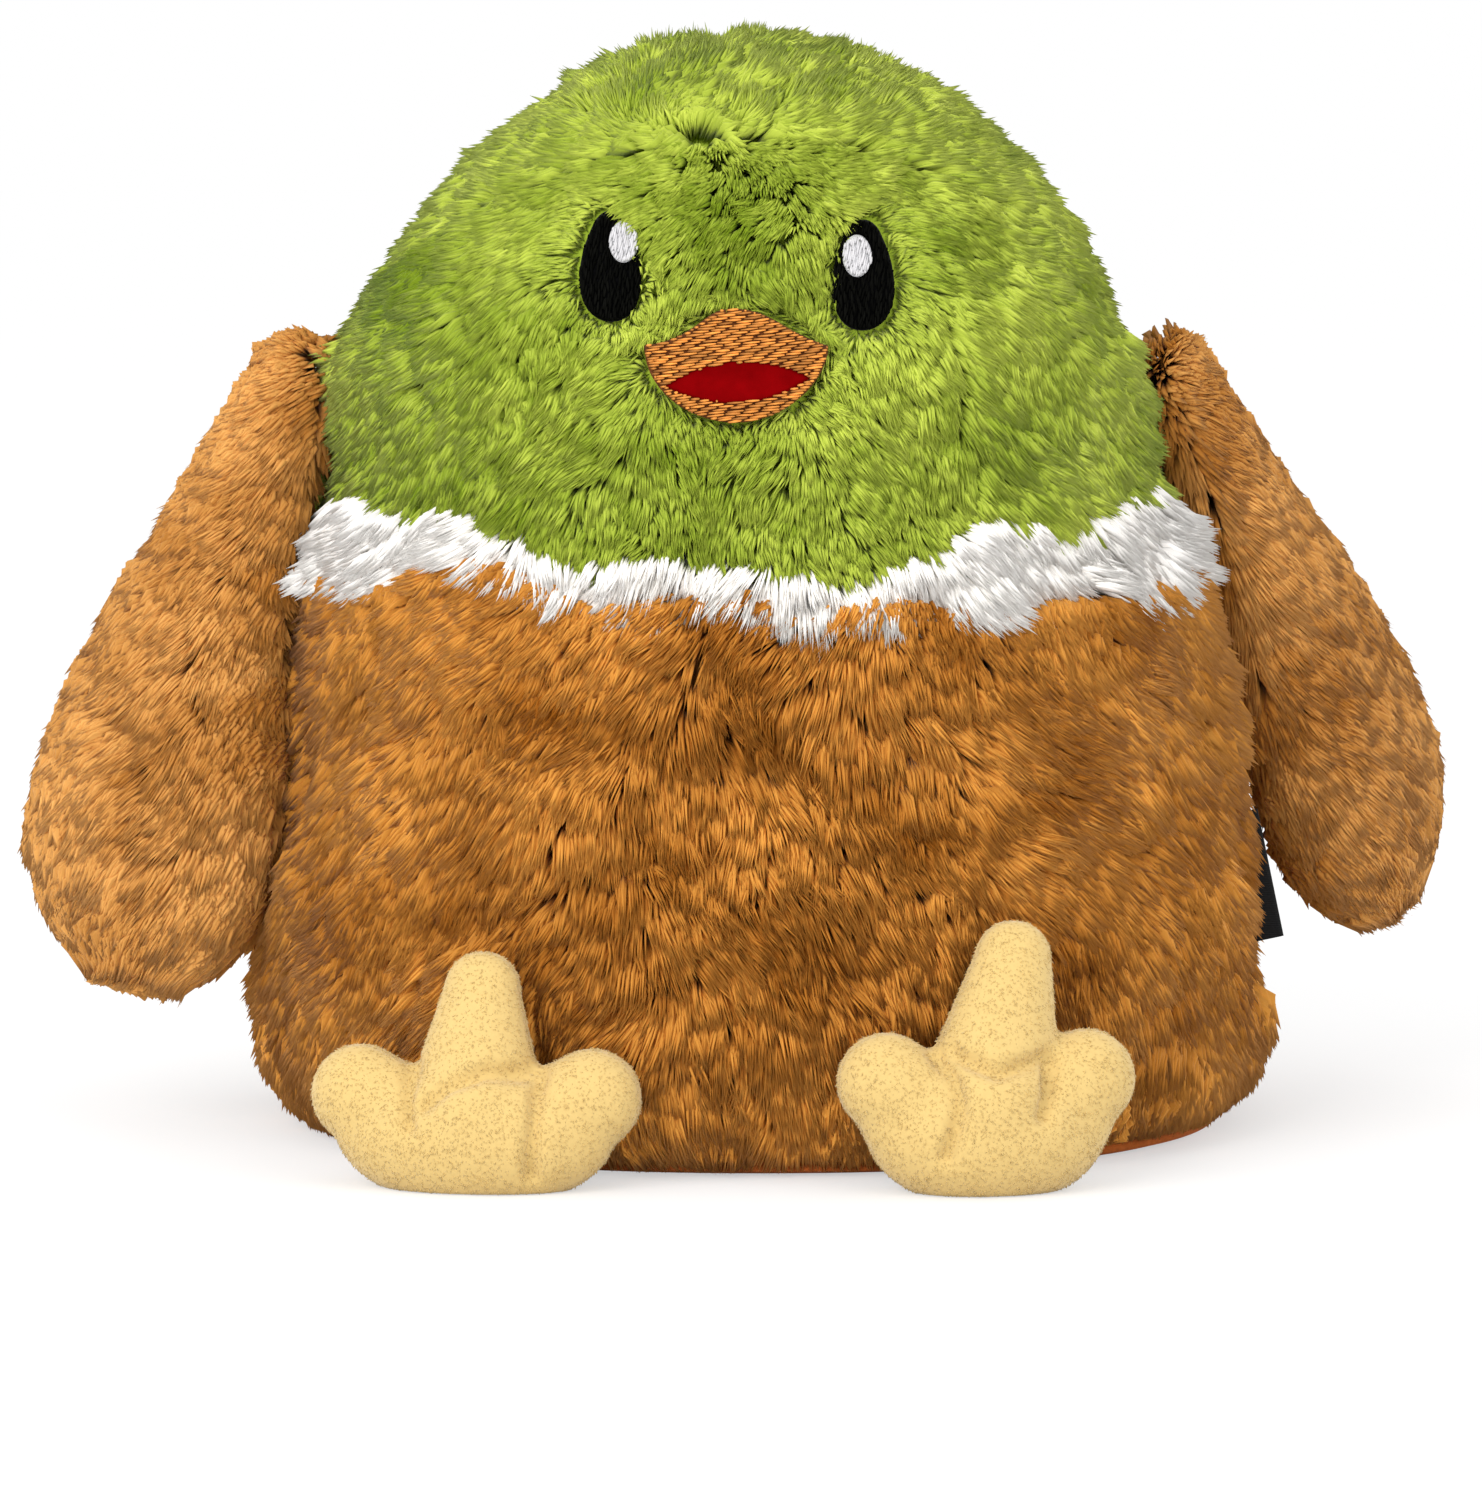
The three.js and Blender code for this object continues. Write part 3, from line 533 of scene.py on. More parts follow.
def grow(
    name, roots, normals, flow, pile, material, seed, hold,
    tone_shift=0.0, floor=None, length_by=1.0, lean_by=0.0, width_by=1.0, gather_by=1.0,
):
    """Grows one piece of fur, lying along the flow, gathered into tufts and held in its outline."""
    dice = np.random.default_rng(seed)
    count = len(roots)
    flow = along_cloth(flow, normals)
    side = np.cross(normals, flow)
    centre, tuft, tufts = tuft_middles(roots, (pile.spacing / pile.tuft) ** 2, dice)
    lock_centre, lock, locks = tuft_middles(roots, (pile.spacing / pile.lock) ** 2, dice)

    def varied(spread):
        return dice.normal(0, spread, tufts)[tuft] + dice.normal(0, spread, locks)[lock]

    turn = pile.swirl * ripple(roots, pile.swirl_size, seed + 1) + varied(pile.stray)
    turn = np.radians(turn + dice.normal(0, 4, count))[:, None]
    way = flow * np.cos(turn) + side * np.sin(turn)
    rolling = 4 * ripple(roots, 1.3 * pile.swirl_size, seed + 2)
    lean = pile.lean + lean_by + rolling + varied(pile.lean_spread) + dice.normal(0, 3, count)
    lean = np.clip(lean, 4, 84)
    length = pile.length * length_by * (1 + varied(pile.length_spread) + dice.normal(0, 0.05, count))
    length = np.broadcast_to(length, count)[:, None]
    middles = roots + length * 0.5 * tilted(normals, way, np.maximum(lean - pile.bend, 0))
    tips = middles + length * 0.5 * tilted(normals, way, np.minimum(lean + pile.bend, 88))
    gather_by = np.broadcast_to(gather_by, count)[:, None]
    for middle_of, gather in ((lock_centre, pile.lock_gather), (centre, pile.gather)):
        pull = gather * gather_by
        tips = tips + pull * (tips[middle_of] - tips)
        middles = middles + 0.4 * pull * (middles[middle_of] - middles)
    middles, tips = hold(middles, dice), hold(tips, dice)
    if floor is not None:
        middles[:, 2] = np.maximum(middles[:, 2], floor)
        tips[:, 2] = np.maximum(tips[:, 2], floor)
    tones = 0.5 + 0.12 * ripple(roots, 30 * MM, seed + 3) + 0.07 * ripple(roots, 9 * MM, seed + 4)
    tones = np.clip(tones + varied(0.03) + dice.normal(0, 0.06, count) + tone_shift, 0.03, 0.97)
    widths = pile.width * width_by * dice.uniform(0.7, 1.3, count)
    facing = normals + 0.28 * dice.normal(size=(count, 3))
    return copies_mesh(name, lock_template(), roots, middles, tips, widths, tones, material, facing)


# The torso's section where its half-width is 1, to spread the roots evenly round it
SECTION_ANGLES = np.linspace(0, TAU, 721)
SECTION = np.stack([rounded(np.cos(SECTION_ANGLES)), 0.87 * rounded(np.sin(SECTION_ANGLES))], axis=-1)
SECTION_LENGTH = lengths_along(SECTION)


def jittered(count, dice):
    """Evenly spaced shares of a round, each moved at random by up to half a step."""
    return (np.arange(count) + dice.uniform(-0.5, 0.5, count)) / count % 1


def scatter_torso(spacing, low, high, keep, seed):
    """Angles and heights of jittered spots on the torso, one to each square of the spacing."""
    dice = np.random.default_rng(seed)
    first, last = np.interp([low, high], TORSO_RISE, TORSO_LENGTH)
    angles, heights = [], []
    for arc in np.arange(first, last, spacing):
        half = np.interp(arc, TORSO_LENGTH, TORSO_CURVE[:, 0])
        count = max(3, int(half * SECTION_LENGTH[-1] / spacing))
        steps = jittered(count, dice)
        angles.append(np.interp(steps * SECTION_LENGTH[-1], SECTION_LENGTH, SECTION_ANGLES))
        arcs = np.clip(arc + dice.uniform(-0.5, 0.5, count) * spacing, first, last)
        heights.append(np.interp(arcs, TORSO_LENGTH, TORSO_RISE))
    angle, height = np.concatenate(angles), np.concatenate(heights)
    kept = keep(angle, height)
    return angle[kept], height[kept]


def scatter_wing(spacing, seed):
    """Turns and shares of jittered spots on a wing."""
    dice = np.random.default_rng(seed)
    turns, shares = [], []
    for arc in np.arange(0.5 * spacing, WING_LENGTH[-1], spacing):
        half = np.interp(arc, WING_LENGTH, WING_CURVE[:, 0])
        count = max(3, int(half * TAU * (1 + WING_THICKNESS) / 2 / spacing))
        turns.append(jittered(count, dice))
        arcs = np.clip(arc + dice.uniform(-0.5, 0.5, count) * spacing, 0, WING_LENGTH[-1])
        shares.append(np.interp(arcs, WING_LENGTH, np.linspace(0, 1, len(WING_CURVE))))
    return np.concatenate(turns), np.concatenate(shares)


# Materials


def linear(red, green, blue):
    """A colour as written on screen, from 0 to 255, as the shader takes it."""
    values = np.array([red, green, blue]) / 255
    lit = np.where(values <= 0.04045, values / 12.92, ((values + 0.055) / 1.055) ** 2.4)
    return tuple(float(value) for value in lit)


def scaled(colour, factor):
    return tuple(min(1, factor * value) for value in colour)


def shader(name, roughness, sheen=0.0, specular=0.5):
    material = bpy.data.materials.new(name)
    material.use_nodes = True
    bsdf = material.node_tree.nodes["Principled BSDF"]
    bsdf.inputs["Roughness"].default_value = roughness
    bsdf.inputs["Sheen Weight"].default_value = sheen
    bsdf.inputs["Sheen Roughness"].default_value = 0.5
    bsdf.inputs["Specular IOR Level"].default_value = specular
    return material, material.node_tree, bsdf


def ramp(tree, stops):
    """A colour ramp node whose stops are (place, colour)."""
    node = tree.nodes.new("ShaderNodeValToRGB")
    while len(node.color_ramp.elements) < len(stops):
        node.color_ramp.elements.new(0.5)
    for element, (place, colour) in zip(node.color_ramp.elements, stops):
        element.position = place
        element.color = (*colour, 1)
    return node


def multiplied(tree, first, second):
    node = tree.nodes.new("ShaderNodeMix")
    node.data_type = "RGBA"
    node.blend_type = "MULTIPLY"
    node.inputs["Factor"].default_value = 1
    tree.links.new(first, node.inputs["A"])
    tree.links.new(second, node.inputs["B"])
    return node.outputs["Result"]


def fibre_material(name, dark, light, root=0.58, middle=0.9, roughness=0.8, sheen=0.05, specular=0.1):
    """Fibres whose map runs by tone along U and from root to tip along V, with painted shade towards
    the root.
    """
    material, tree, bsdf = shader(name, roughness, sheen, specular)
    uv = tree.nodes.new("ShaderNodeUVMap")
    uv.uv_map = "OFBake"
    split = tree.nodes.new("ShaderNodeSeparateXYZ")
    tree.links.new(uv.outputs["UV"], split.inputs[0])
    tones = ramp(tree, [(0.05, dark), (0.95, light)])
    # painted shade: each fibre is drawn darker towards its root, keeping the share root of its colour
    # at the start and middle halfway, as the fur shades itself there
    shade = ramp(tree, [(0.0, (root,) * 3), (0.5, (middle,) * 3), (0.85, (1, 1, 1))])
    tree.links.new(split.outputs["X"], tones.inputs[0])
    tree.links.new(split.outputs["Y"], shade.inputs[0])
    tree.links.new(multiplied(tree, tones.outputs[0], shade.outputs[0]), bsdf.inputs["Base Color"])
    return material


def cloth_material(
    name, dark, light, scale=900, roughness=0.9, sheen=0.05, specular=0.1, bump=0.3, weave=None
):
    """Cloth with fine mottling, a bump, and a woven rib where weave gives its threads to the metre."""
    material, tree, bsdf = shader(name, roughness, sheen, specular)
    place = tree.nodes.new("ShaderNodeTexCoord")
    noise = tree.nodes.new("ShaderNodeTexNoise")
    noise.inputs["Scale"].default_value = scale
    noise.inputs["Detail"].default_value = 4
    tree.links.new(place.outputs["Object"], noise.inputs["Vector"])
    tones = ramp(tree, [(0.3, dark), (0.7, light)])
    tree.links.new(noise.outputs["Fac"], tones.inputs[0])
    tree.links.new(tones.outputs[0], bsdf.inputs["Base Color"])
    height = noise.outputs["Fac"]
    if weave:
        rib = tree.nodes.new("ShaderNodeTexWave")
        rib.bands_direction = "Z"
        rib.inputs["Scale"].default_value = weave
        rib.inputs["Distortion"].default_value = 0.6
        tree.links.new(place.outputs["Object"], rib.inputs["Vector"])
        height = rib.outputs["Fac"]
    node = tree.nodes.new("ShaderNodeBump")
    node.inputs["Strength"].default_value = bump
    node.inputs["Distance"].default_value = 0.3 * MM
    tree.links.new(height, node.inputs["Height"])
    tree.links.new(node.outputs["Normal"], bsdf.inputs["Normal"])
    return material


def set_up(piece, body, slot, *nodes, fill=None):
    """Hangs a piece on its body and hides the CAD nodes that it stands for."""
    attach(piece, body)
    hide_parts(*nodes)


def sew(name, bm, material, body, slot, *nodes, fill=None, smooth=True):
    """Makes a piece of a bmesh and sets it up."""
    set_up(finished(name, bm, material, smooth), body, slot, *nodes, fill=fill)


# Settings


def colour_setting(name, description, red, green, blue):
    return FloatVectorProperty(
        name=name, description=description, subtype="COLOR", size=3, min=0, max=1,
        default=linear(red, green, blue),
    )


def size_setting(name, description, millimetres, most=60):
    return FloatProperty(
        name=name, description=description, unit="LENGTH", min=0, max=most * MM,
        default=millimetres * MM,
    )


class FurSettings(bpy.types.PropertyGroup):
    """Pile lengths and colours of the fur cloth"""

    body_pile: size_setting("Body pile", "Length of the brown fur of the body", 13)
    wing_pile: size_setting("Wing pile", "Length of the brown fur of the wings", 12)
    head_pile: size_setting("Head pile", "Length of the green fur", 8.4)
    collar_pile: size_setting("Collar pile", "Length of the white fur", 12)
    backing_depth: size_setting("Backing depth", "How deep the cloth lies below the tips", 7.2)
    spacing: size_setting("Spacing", "Distance between neighbouring locks on the front", 0.54)
    back_spacing: size_setting("Back spacing", "Distance between neighbouring locks behind", 0.66)
    brown_dark: colour_setting("Dark brown", "Darkest hairs of the brown fur", 152, 88, 14)
    brown_light: colour_setting("Light brown", "Lightest hairs of the brown fur", 224, 155, 67)
    wing_dark: colour_setting("Dark wing brown", "Darkest hairs of the wings", 172, 110, 40)
    wing_light: colour_setting("Light wing brown", "Lightest hairs of the wings", 234, 172, 95)
    green_dark: colour_setting("Dark green", "Darkest hairs of the green fur", 121, 144, 26)
    green_light: colour_setting("Light green", "Lightest hairs of the green fur", 195, 209, 82)
    white_dark: colour_setting("Shaded white", "Darkest hairs of the white fur", 244, 240, 234)
    white_light: colour_setting("White", "Lightest hairs of the white fur", 252, 249, 245)


class FaceSettings(bpy.types.PropertyGroup):
    """Embroidery of the face"""

    eye_thread: colour_setting("Eye thread", "Black thread of the eyes", 10, 10, 8)
    glint_thread: colour_setting("Glint thread", "White thread of the glints", 212, 210, 212)
    beak_thread: colour_setting("Beak thread", "Orange thread of the beak", 210, 135, 58)
    mouth_cloth: colour_setting("Mouth", "Red cloth of the mouth", 124, 3, 6)
    stitch: size_setting("Stitch", "Length of the beak's stitches", 3.4)
    thread: size_setting("Thread", "Width of the embroidery thread", 0.46)


class FootSettings(bpy.types.PropertyGroup):
    """Plush of the feet"""

    plush: colour_setting("Plush", "Yellow of the feet's plush", 213, 183, 117)
    nap: size_setting("Nap", "Length of the feet's short nap", 0.95)


class TrimSettings(bpy.types.PropertyGroup):
    """Base panel and side label"""

    base_cloth: colour_setting("Base cloth", "Rust-brown cloth under the duck", 186, 100, 42)
    ribbon: colour_setting("Ribbon", "Black ribbon of the side label", 20, 20, 21)


class StageSettings(bpy.types.PropertyGroup):
    """Light and camera"""

    fill_light: FloatProperty(name="Fill", description="Even light all round", default=1.02, min=0)
    key_light: FloatProperty(name="Key", description="Watts of the brighter lamp", default=17, min=0)
    lens: FloatProperty(name="Lens", description="Camera lens, millimetres", default=157.9, min=10)


# Fur of the body, head and collar


def front(angle):
    return np.sin(angle) <= 0


def edge_height(seam, shown, hang, angle):
    """The uneven line along which the cloth of two colours is sewn together."""
    spots = torso_points(angle, np.full(np.shape(angle), seam[0]), 0)
    across, heights = np.array(shown).T * MM
    behind = seam_height(seam, angle) + 1.4 * MM * ripple(spots, 34 * MM, 5)
    before = np.interp(spots[..., 0], across, heights)
    facing = np.clip(-4 * np.sin(angle), 0, 1)
    return behind + (before - behind) * facing + hang


def green_edge(angle):
    return edge_height(COLLAR_TOP, GREEN_EDGE, GREEN_HANG, angle)


def white_edge(angle):
    return edge_height(COLLAR_BOTTOM, WHITE_EDGE, WHITE_HANG, angle)


def between_edges(angle, height):
    """Where white fur grows, a little way under the green fur too."""
    return (height < green_edge(angle) + 1.5 * MM) & (height > white_edge(angle))


def creased(points):
    """How near each point of the front lies to a crease of the belly, from 0 to 1."""
    spots = points[:, [0, 2]] / MM
    near = np.zeros(len(points))
    for start, end, width in CREASES:
        near = np.maximum(near, faded(gap_to(spots, start, end), width))
    return np.where(points[:, 1] < 0, near, 0)


def by_label(points):
    """How much the fur beside the side label is pressed down, from 0 to 1."""
    x, y, z = points.T / MM
    upright = share_of(z, 66, 40) * share_of(z, 29, 34)
    return np.where(x > 0, upright * share_of(y, -46, -20) * share_of(y, 24, 11), 0)


def by_wing(points):
    """How much the torso's fur fills the gap to a wing that hangs beside it, from 0 to 1."""
    x, y, z = points.T / MM
    upright = share_of(z, 70, 80) * share_of(z, 163, 153)
    return np.where(np.abs(x) > 50, upright * np.clip(1.7 - np.abs(y) / 16, 0, 1), 0)


def body_swell(angle, height):
    """How far the body's pile stands out from the outline, where lumps and creases lie."""
    points = torso_points(angle, height, 0)
    lumps = -LUMP_DEPTH
    for apart, way, start in LUMPS:
        lumps = lumps + LUMP_HEIGHT * np.sin(points / MM @ np.array(way) * TAU / apart + start)
    from_side = np.abs(np.sin(angle)) / 0.2
    from_ends = np.minimum(height - BASE_TOP, seam_height(COLLAR_BOTTOM, angle) - height) / (14 * MM)
    loose = np.clip(np.minimum(from_side, from_ends), 0, 1)
    return np.minimum(0, lumps - CREASE_DEPTH * creased(points)) * loose - LABEL_DENT * by_label(points)


def body_cloth(angle, height, depth):
    """Points of the torso's cloth, with the soft lumps of its filling and the belly's creases."""
    return torso_points(angle, height, -depth + MM * body_swell(angle, height))


def beyond_torso(points, clearance, top=CROWN):
    """How far out each point lies, where 1 is on the torso's outline moved out by the clearance."""
    half, lean, depth = section_at(np.clip(points[:, 2], 0, top))
    half = half + clearance
    across, along = np.abs(points[:, 0] - lean) / half, np.abs(points[:, 1]) / (half * depth)
    return (across**SQUARENESS + along**SQUARENESS) ** (1 / SQUARENESS)


def left_free(points, dice):
    """The white fur isn't held in."""
    return points


def held_on_torso(points, proud):
    """Points outside the torso's outline brought back to just proud of it."""
    top = CROWN - 2 * MM
    scale = 1 / np.maximum(beyond_torso(points, proud, top), 1)
    lean = section_at(np.clip(points[:, 2], 0, top))[1]
    held = points.copy()
    held[:, 0] = lean + (points[:, 0] - lean) * scale
    held[:, 1] = points[:, 1] * scale
    return held


def held_on_head(points, proud):
    """Points outside the head's outline brought back to just proud of it, towards its middle."""
    middle = np.stack([0 * proud + HEAD_X, 0 * proud, np.minimum(points[:, 2], HEAD_Z)], axis=-1)
    way = points - middle
    within, beyond = np.zeros(len(points)), np.full(len(points), 1.5)
    for _ in range(10):
        tried = (within + beyond) / 2
        out = beyond_torso(middle + way * tried[:, None], 0.01 * MM) > 1
        within, beyond = np.where(out, within, tried), np.where(out, tried, beyond)
    reach = within + proud / np.maximum(np.linalg.norm(way, axis=1), 1 * MM)
    return middle + way * np.minimum(1, reach)[:, None]


def downwards(outward):
    """Ways that run down, and outwards by the given share of that."""
    return np.stack([outward, np.zeros(len(outward)), -np.ones(len(outward))], axis=-1)


def body_flow(points):
    """The brown fur lies down and away from the middle of the belly."""
    x, y, z = points.T
    outward = np.clip(x / (60 * MM), -1.2, 1)
    outward = outward * np.where(y < 0, np.where(x < 0, 0.85, 0.5), 0.35)
    return downwards(outward * share_of(z, 0, 55 * MM) + 0.25 * ripple(points, 60 * MM, 7))


def collar_flow(points):
    """The white fur lies down in the middle and outwards at its ends."""
    outward = np.clip(points[:, 0] / (50 * MM), -1.1, 1.1)
    return downwards(outward + 0.25 * ripple(points, 30 * MM, 9))


def from_parting(points):
    """The way from the parting over the forehead to each point, in millimetres."""
    x, y, z = points.T / MM
    return x - np.clip(x, *PARTING_ENDS), y - PARTING_DEPTH, z - PARTING_HEIGHT


def parted(points):
    """How near each point lies to the parting, from 0 to 1."""
    x, y, z = from_parting(points)
    return faded(np.hypot(np.hypot(x, z), 0.5 * y), 9)


def head_flow(points):
    """The green fur lies away from the parting: outwards and down the face, and back over the crown."""
    x, y, z = from_parting(points)
    return np.stack([1.15 * x + 6 * ripple(points, 40 * MM, 8), y, z], axis=-1)


def near_embroidery(points):
    """The way from the nearest edge of the embroidery, and how near that is, from 0 to 1."""
    spots = points[:, [0, 2]] / MM
    edges = np.vstack([eye_outline(RIGHT_EYE), eye_outline(LEFT_EYE), beak_outline()])
    tree = kdtree.KDTree(len(edges))
    for index, edge in enumerate(edges):
        tree.insert((*edge, 0), index)
    tree.balance()
    nearest = edges[[tree.find((*spot, 0))[1] for spot in spots]]
    gap = spots - nearest
    away = np.stack([gap[:, 0], np.zeros(len(gap)), gap[:, 1]], axis=-1)
    near = faded(np.linalg.norm(gap, axis=1), 4)
    return unit(away), np.where(points[:, 1] < 0, near, 0)


class DUCK_OT_body(bpy.types.Operator):
    """Sew the brown body panels and grow their fur"""

    bl_idname = "duck.body"
    bl_label = "Body"

    def execute(self, context):
        fur = context.scene.duck_fur
        cloth = cloth_material("brown_backing", linear(120, 72, 26), linear(140, 86, 34))
        hairs = fibre_material("brown_fur", fur.brown_dark, fur.brown_light, root=0.72)
        for name, start in (("body_front", math.pi), ("body_back", 0.0)):

            def place(u, v):
                angle = start + u * math.pi
                top = white_edge(angle) + SEAM_ALLOWANCE
                return body_cloth(angle, BASE_TOP + (top - BASE_TOP) * v, fur.backing_depth)

            bm = sheet_mesh(90, 44, place, CLOTH)
            nodes = (f"{name}_panel", "torso_filling")
            sew(f"{name}_cloth", bm, cloth, "torso", "brown_plush", *nodes, fill=TORSO_FILL)
        bands = {
            "body_front_fur_lower": (0, 40),
            "body_front_fur_middle": (40, 78),
            "body_front_fur_upper": (78, 124),
            "body_back_fur_lower": (0, 58),
            "body_back_fur_upper": (58, 124),
        }

        def hold(points, dice):
            clumps = 0.8 * MM * ripple(points, 9 * MM, 16) + GAP_PROUD * by_wing(points)
            return held_on_torso(points, clumps + dice.normal(0.2 * MM, 0.7 * MM, len(points)))

        for name, (low, high) in bands.items():
            on_front = "front" in name
            spacing = fur.spacing if on_front else fur.back_spacing
            angle, height = scatter_torso(
                spacing, max(low * MM, BASE_TOP), high * MM,
                lambda a, h: (front(a) == on_front) & (h < white_edge(a)), SEEDS["body_roots"],
            )
            roots = body_cloth(angle, height, fur.backing_depth)
            pressed, creases = by_label(roots), creased(roots)
            below_white = faded(white_edge(angle) - height, 5 * MM)
            bared = share_of(roots[:, 0], 20 * MM, 70 * MM) * front(angle)
            pile = Pile(fur.body_pile, lean=60, spacing=spacing)
            piece = grow(
                name, roots, torso_normals(angle, height), body_flow(roots), pile, hairs,
                SEEDS["body"], hold,
                # painted shade darkens the fur in the belly's creases, and painted light lightens the
                # lowest 45 mm, which faces down and away from the lamps
                tone_shift=0.05 - 0.2 * creases + 0.38 * share_of(roots[:, 2], 45 * MM, 0),
                floor=0.6 * MM + 2.6 * MM * bared,
                length_by=1 - 0.3 * pressed + GAP_LENGTH * by_wing(roots),
                lean_by=14 * pressed - 12 * creases - 22 * below_white - GAP_RISE * by_wing(roots),
            )
            set_up(piece, "torso", "brown_plush", "body_front_panel" if on_front else "body_back_panel")
        return {"FINISHED"}


class DUCK_OT_head(bpy.types.Operator):
    """Sew the green face and the back of the head and grow their fur"""

    bl_idname = "duck.head"
    bl_label = "Head"

    def execute(self, context):
        fur = context.scene.duck_fur
        cloth = cloth_material("green_backing", linear(140, 162, 44), linear(156, 178, 54))
        hairs = fibre_material("green_fur", fur.green_dark, fur.green_light, root=0.86, middle=0.94)

        def face_cloth(u, v):
            angle = math.pi + u * math.pi
            low, high = green_edge(angle) - SEAM_ALLOWANCE, forehead_height(angle)
            return torso_points(angle, low + (high - low) * v, -fur.backing_depth)

        def back_cloth(u, v):
            angle = u * TAU
            sides = (u <= 0) | (u >= 1) | (np.abs(u - 0.5) < 1e-4)
            neck = green_edge(angle) - SEAM_ALLOWANCE
            low = np.where(front(angle) & ~sides, forehead_height(angle), neck)
            height = low + (CROWN - low) * np.sin(v * math.pi / 2)
            return torso_points(angle, height, -fur.backing_depth)

        for name, place, columns in (("face", face_cloth, 90), ("head_back", back_cloth, 130)):
            bm = sheet_mesh(columns, 34, place, CLOTH)
            sew(f"{name}_cloth", bm, cloth, "torso", "green_plush", f"{name}_panel", fill=TORSO_FILL)

        bands = {
            "face_fur_upper": lambda a, h: on_face(a, h) & (h >= 152 * MM),
            "face_fur_lower": lambda a, h: on_face(a, h) & (h < 152 * MM),
            "crown_fur": lambda a, h: ~on_face(a, h) & front(a),
            "head_back_fur": lambda a, h: ~front(a),
        }

        def hold(points, dice):
            clumps = 1.1 * MM * ripple(points, 9 * MM, 15) + GAP_PROUD * by_wing(points)
            return held_on_head(points, clumps + dice.normal(-0.8 * MM, 0.7 * MM, len(points)))

        for name, band in bands.items():
            face_side = name.startswith("face")
            spacing = 1.08 * fur.back_spacing if name == "head_back_fur" else fur.spacing
            angle, height = scatter_torso(
                spacing, COLLAR_TOP[0] - 14 * MM, CROWN - 0.2 * MM,
                lambda a, h: band(a, h) & (h > green_edge(a)) & clear_of_face(a, h, fur),
                SEEDS["head_roots"],
            )
            roots = torso_points(angle, height, -fur.backing_depth)
            flow, combed = self.combed_face(roots) if face_side else self.combed_crown(roots)
            pile = Pile(
                fur.head_pile, lean=56 if face_side else 58, spacing=spacing, gather=0.24,
                width=0.5 * MM, tuft=1.7 * MM, stray=9, swirl=14,
            )
            normals = torso_normals(angle, height)
            piece = grow(name, roots, normals, flow, pile, hairs, SEEDS["head"], hold, **combed)
            set_up(piece, "torso", "green_plush", "face_panel" if face_side else "head_back_panel")
        return {"FINISHED"}

    def combed_crown(self, roots):
        """The fur lies back from the parting, with painted light brightening the tips on top and
        painted shade darkening the parting.
        """
        on_top = share_of(roots[:, 2], 155 * MM, 200 * MM) * (roots[:, 1] < 20 * MM)
        streaks = 0.06 * ripple(roots, 11 * MM, 12) + 0.06 * ripple(roots, 4 * MM, 13)
        return head_flow(roots), dict(
            length_by=1.25 + 0.15 * on_top + GAP_LENGTH * by_wing(roots),
            lean_by=-PARTING_RISE * parted(roots) - GAP_RISE * by_wing(roots),
            gather_by=1 - 0.8 * parted(roots),
            # painted light on the tips on top, and painted shade along the parting
            tone_shift=0.16 * on_top - 0.04 * parted(roots) + streaks,
        )

    def combed_face(self, roots):
        """The fur lies down the face and parts round the embroidery."""
        away, near = near_embroidery(roots)
        x, z = roots[:, 0] / MM, roots[:, 2] / MM
        bridge = faded(x, 20) * faded(z - 184, 15)
        flow = unit(head_flow(roots)) * (1 - 0.6 * near)[:, None] + 0.6 * away * near[:, None]
        aside = share_of(np.abs(x), 28, 42)
        # painted light and shade: the face is drawn lighter towards +X and darker on the cheek outside
        # the right eye
        lit = 0.1 * share_of(x, 0, 40) - 0.16 * faded(x + 55, 25) * faded(z - 170, 18)
        return flow, dict(
            length_by=(0.95 + 0.25 * aside) * (1 - 0.34 * near) + FRONT_GAP_LENGTH * by_wing(roots),
            lean_by=12 * near + 4 * aside - PARTING_RISE * parted(roots) - GAP_RISE * by_wing(roots),
            gather_by=1 - 0.8 * parted(roots),
            tone_shift=0.08 * near - 0.15 * bridge + lit + 0.06 * ripple(roots, 5 * MM, 14),
        )


def on_face(angle, height):
    return front(angle) & (height < forehead_height(angle))


def clear_of_face(angle, height, fur):
    """Which places of the torso have no embroidery on them."""
    x, y, z = torso_points(angle, height, -fur.backing_depth).T / MM
    outlines = (eye_outline(RIGHT_EYE), eye_outline(LEFT_EYE), beak_outline())
    return (y > 0) | ~np.any([inside(outline, x, z) for outline in outlines], axis=0)


class DUCK_OT_collar(bpy.types.Operator):
    """Sew the white collar and grow its fur over the top of the body"""

    bl_idname = "duck.collar"
    bl_label = "Collar"

    def execute(self, context):
        fur = context.scene.duck_fur
        cloth = cloth_material("white_backing", linear(232, 228, 222), linear(244, 240, 236))
        hairs = fibre_material("white_fur", fur.white_dark, fur.white_light, root=1, middle=1)
        for side, start in (("front", math.pi), ("back", 0.0)):

            def place(u, v):
                angle = start + u * math.pi
                low, high = white_edge(angle), green_edge(angle)
                return body_cloth(angle, low + (high - low) * v, fur.backing_depth - 0.4 * MM)

            node = f"collar_{side}_panel"
            bm = sheet_mesh(120, 10, place, CLOTH)
            sew(f"collar_{side}_cloth", bm, cloth, "torso", "white_plush", node, fill=TORSO_FILL)
            spacing = fur.spacing if side == "front" else fur.back_spacing
            angle, height = scatter_torso(
                spacing, 100 * MM, COLLAR_TOP[0] + 12 * MM,
                lambda a, h: (front(a) == (side == "front")) & between_edges(a, h),
                SEEDS["collar_roots"],
            )
            roots = body_cloth(angle, height, fur.backing_depth)
            pile = Pile(
                fur.collar_pile, lean=59, spacing=spacing, tuft=2 * MM, gather=0.18, lock_gather=0.1,
                stray=6, swirl=16,
            )
            piece = grow(
                f"collar_{side}_fur", roots, torso_normals(angle, height), collar_flow(roots), pile,
                hairs, SEEDS["collar"], left_free,
                length_by=1 + FRONT_GAP_LENGTH * by_wing(roots),
                lean_by=-COLLAR_GAP_RISE * by_wing(roots),
            )
            set_up(piece, "torso", "white_plush", node)
        return {"FINISHED"}


# Wings


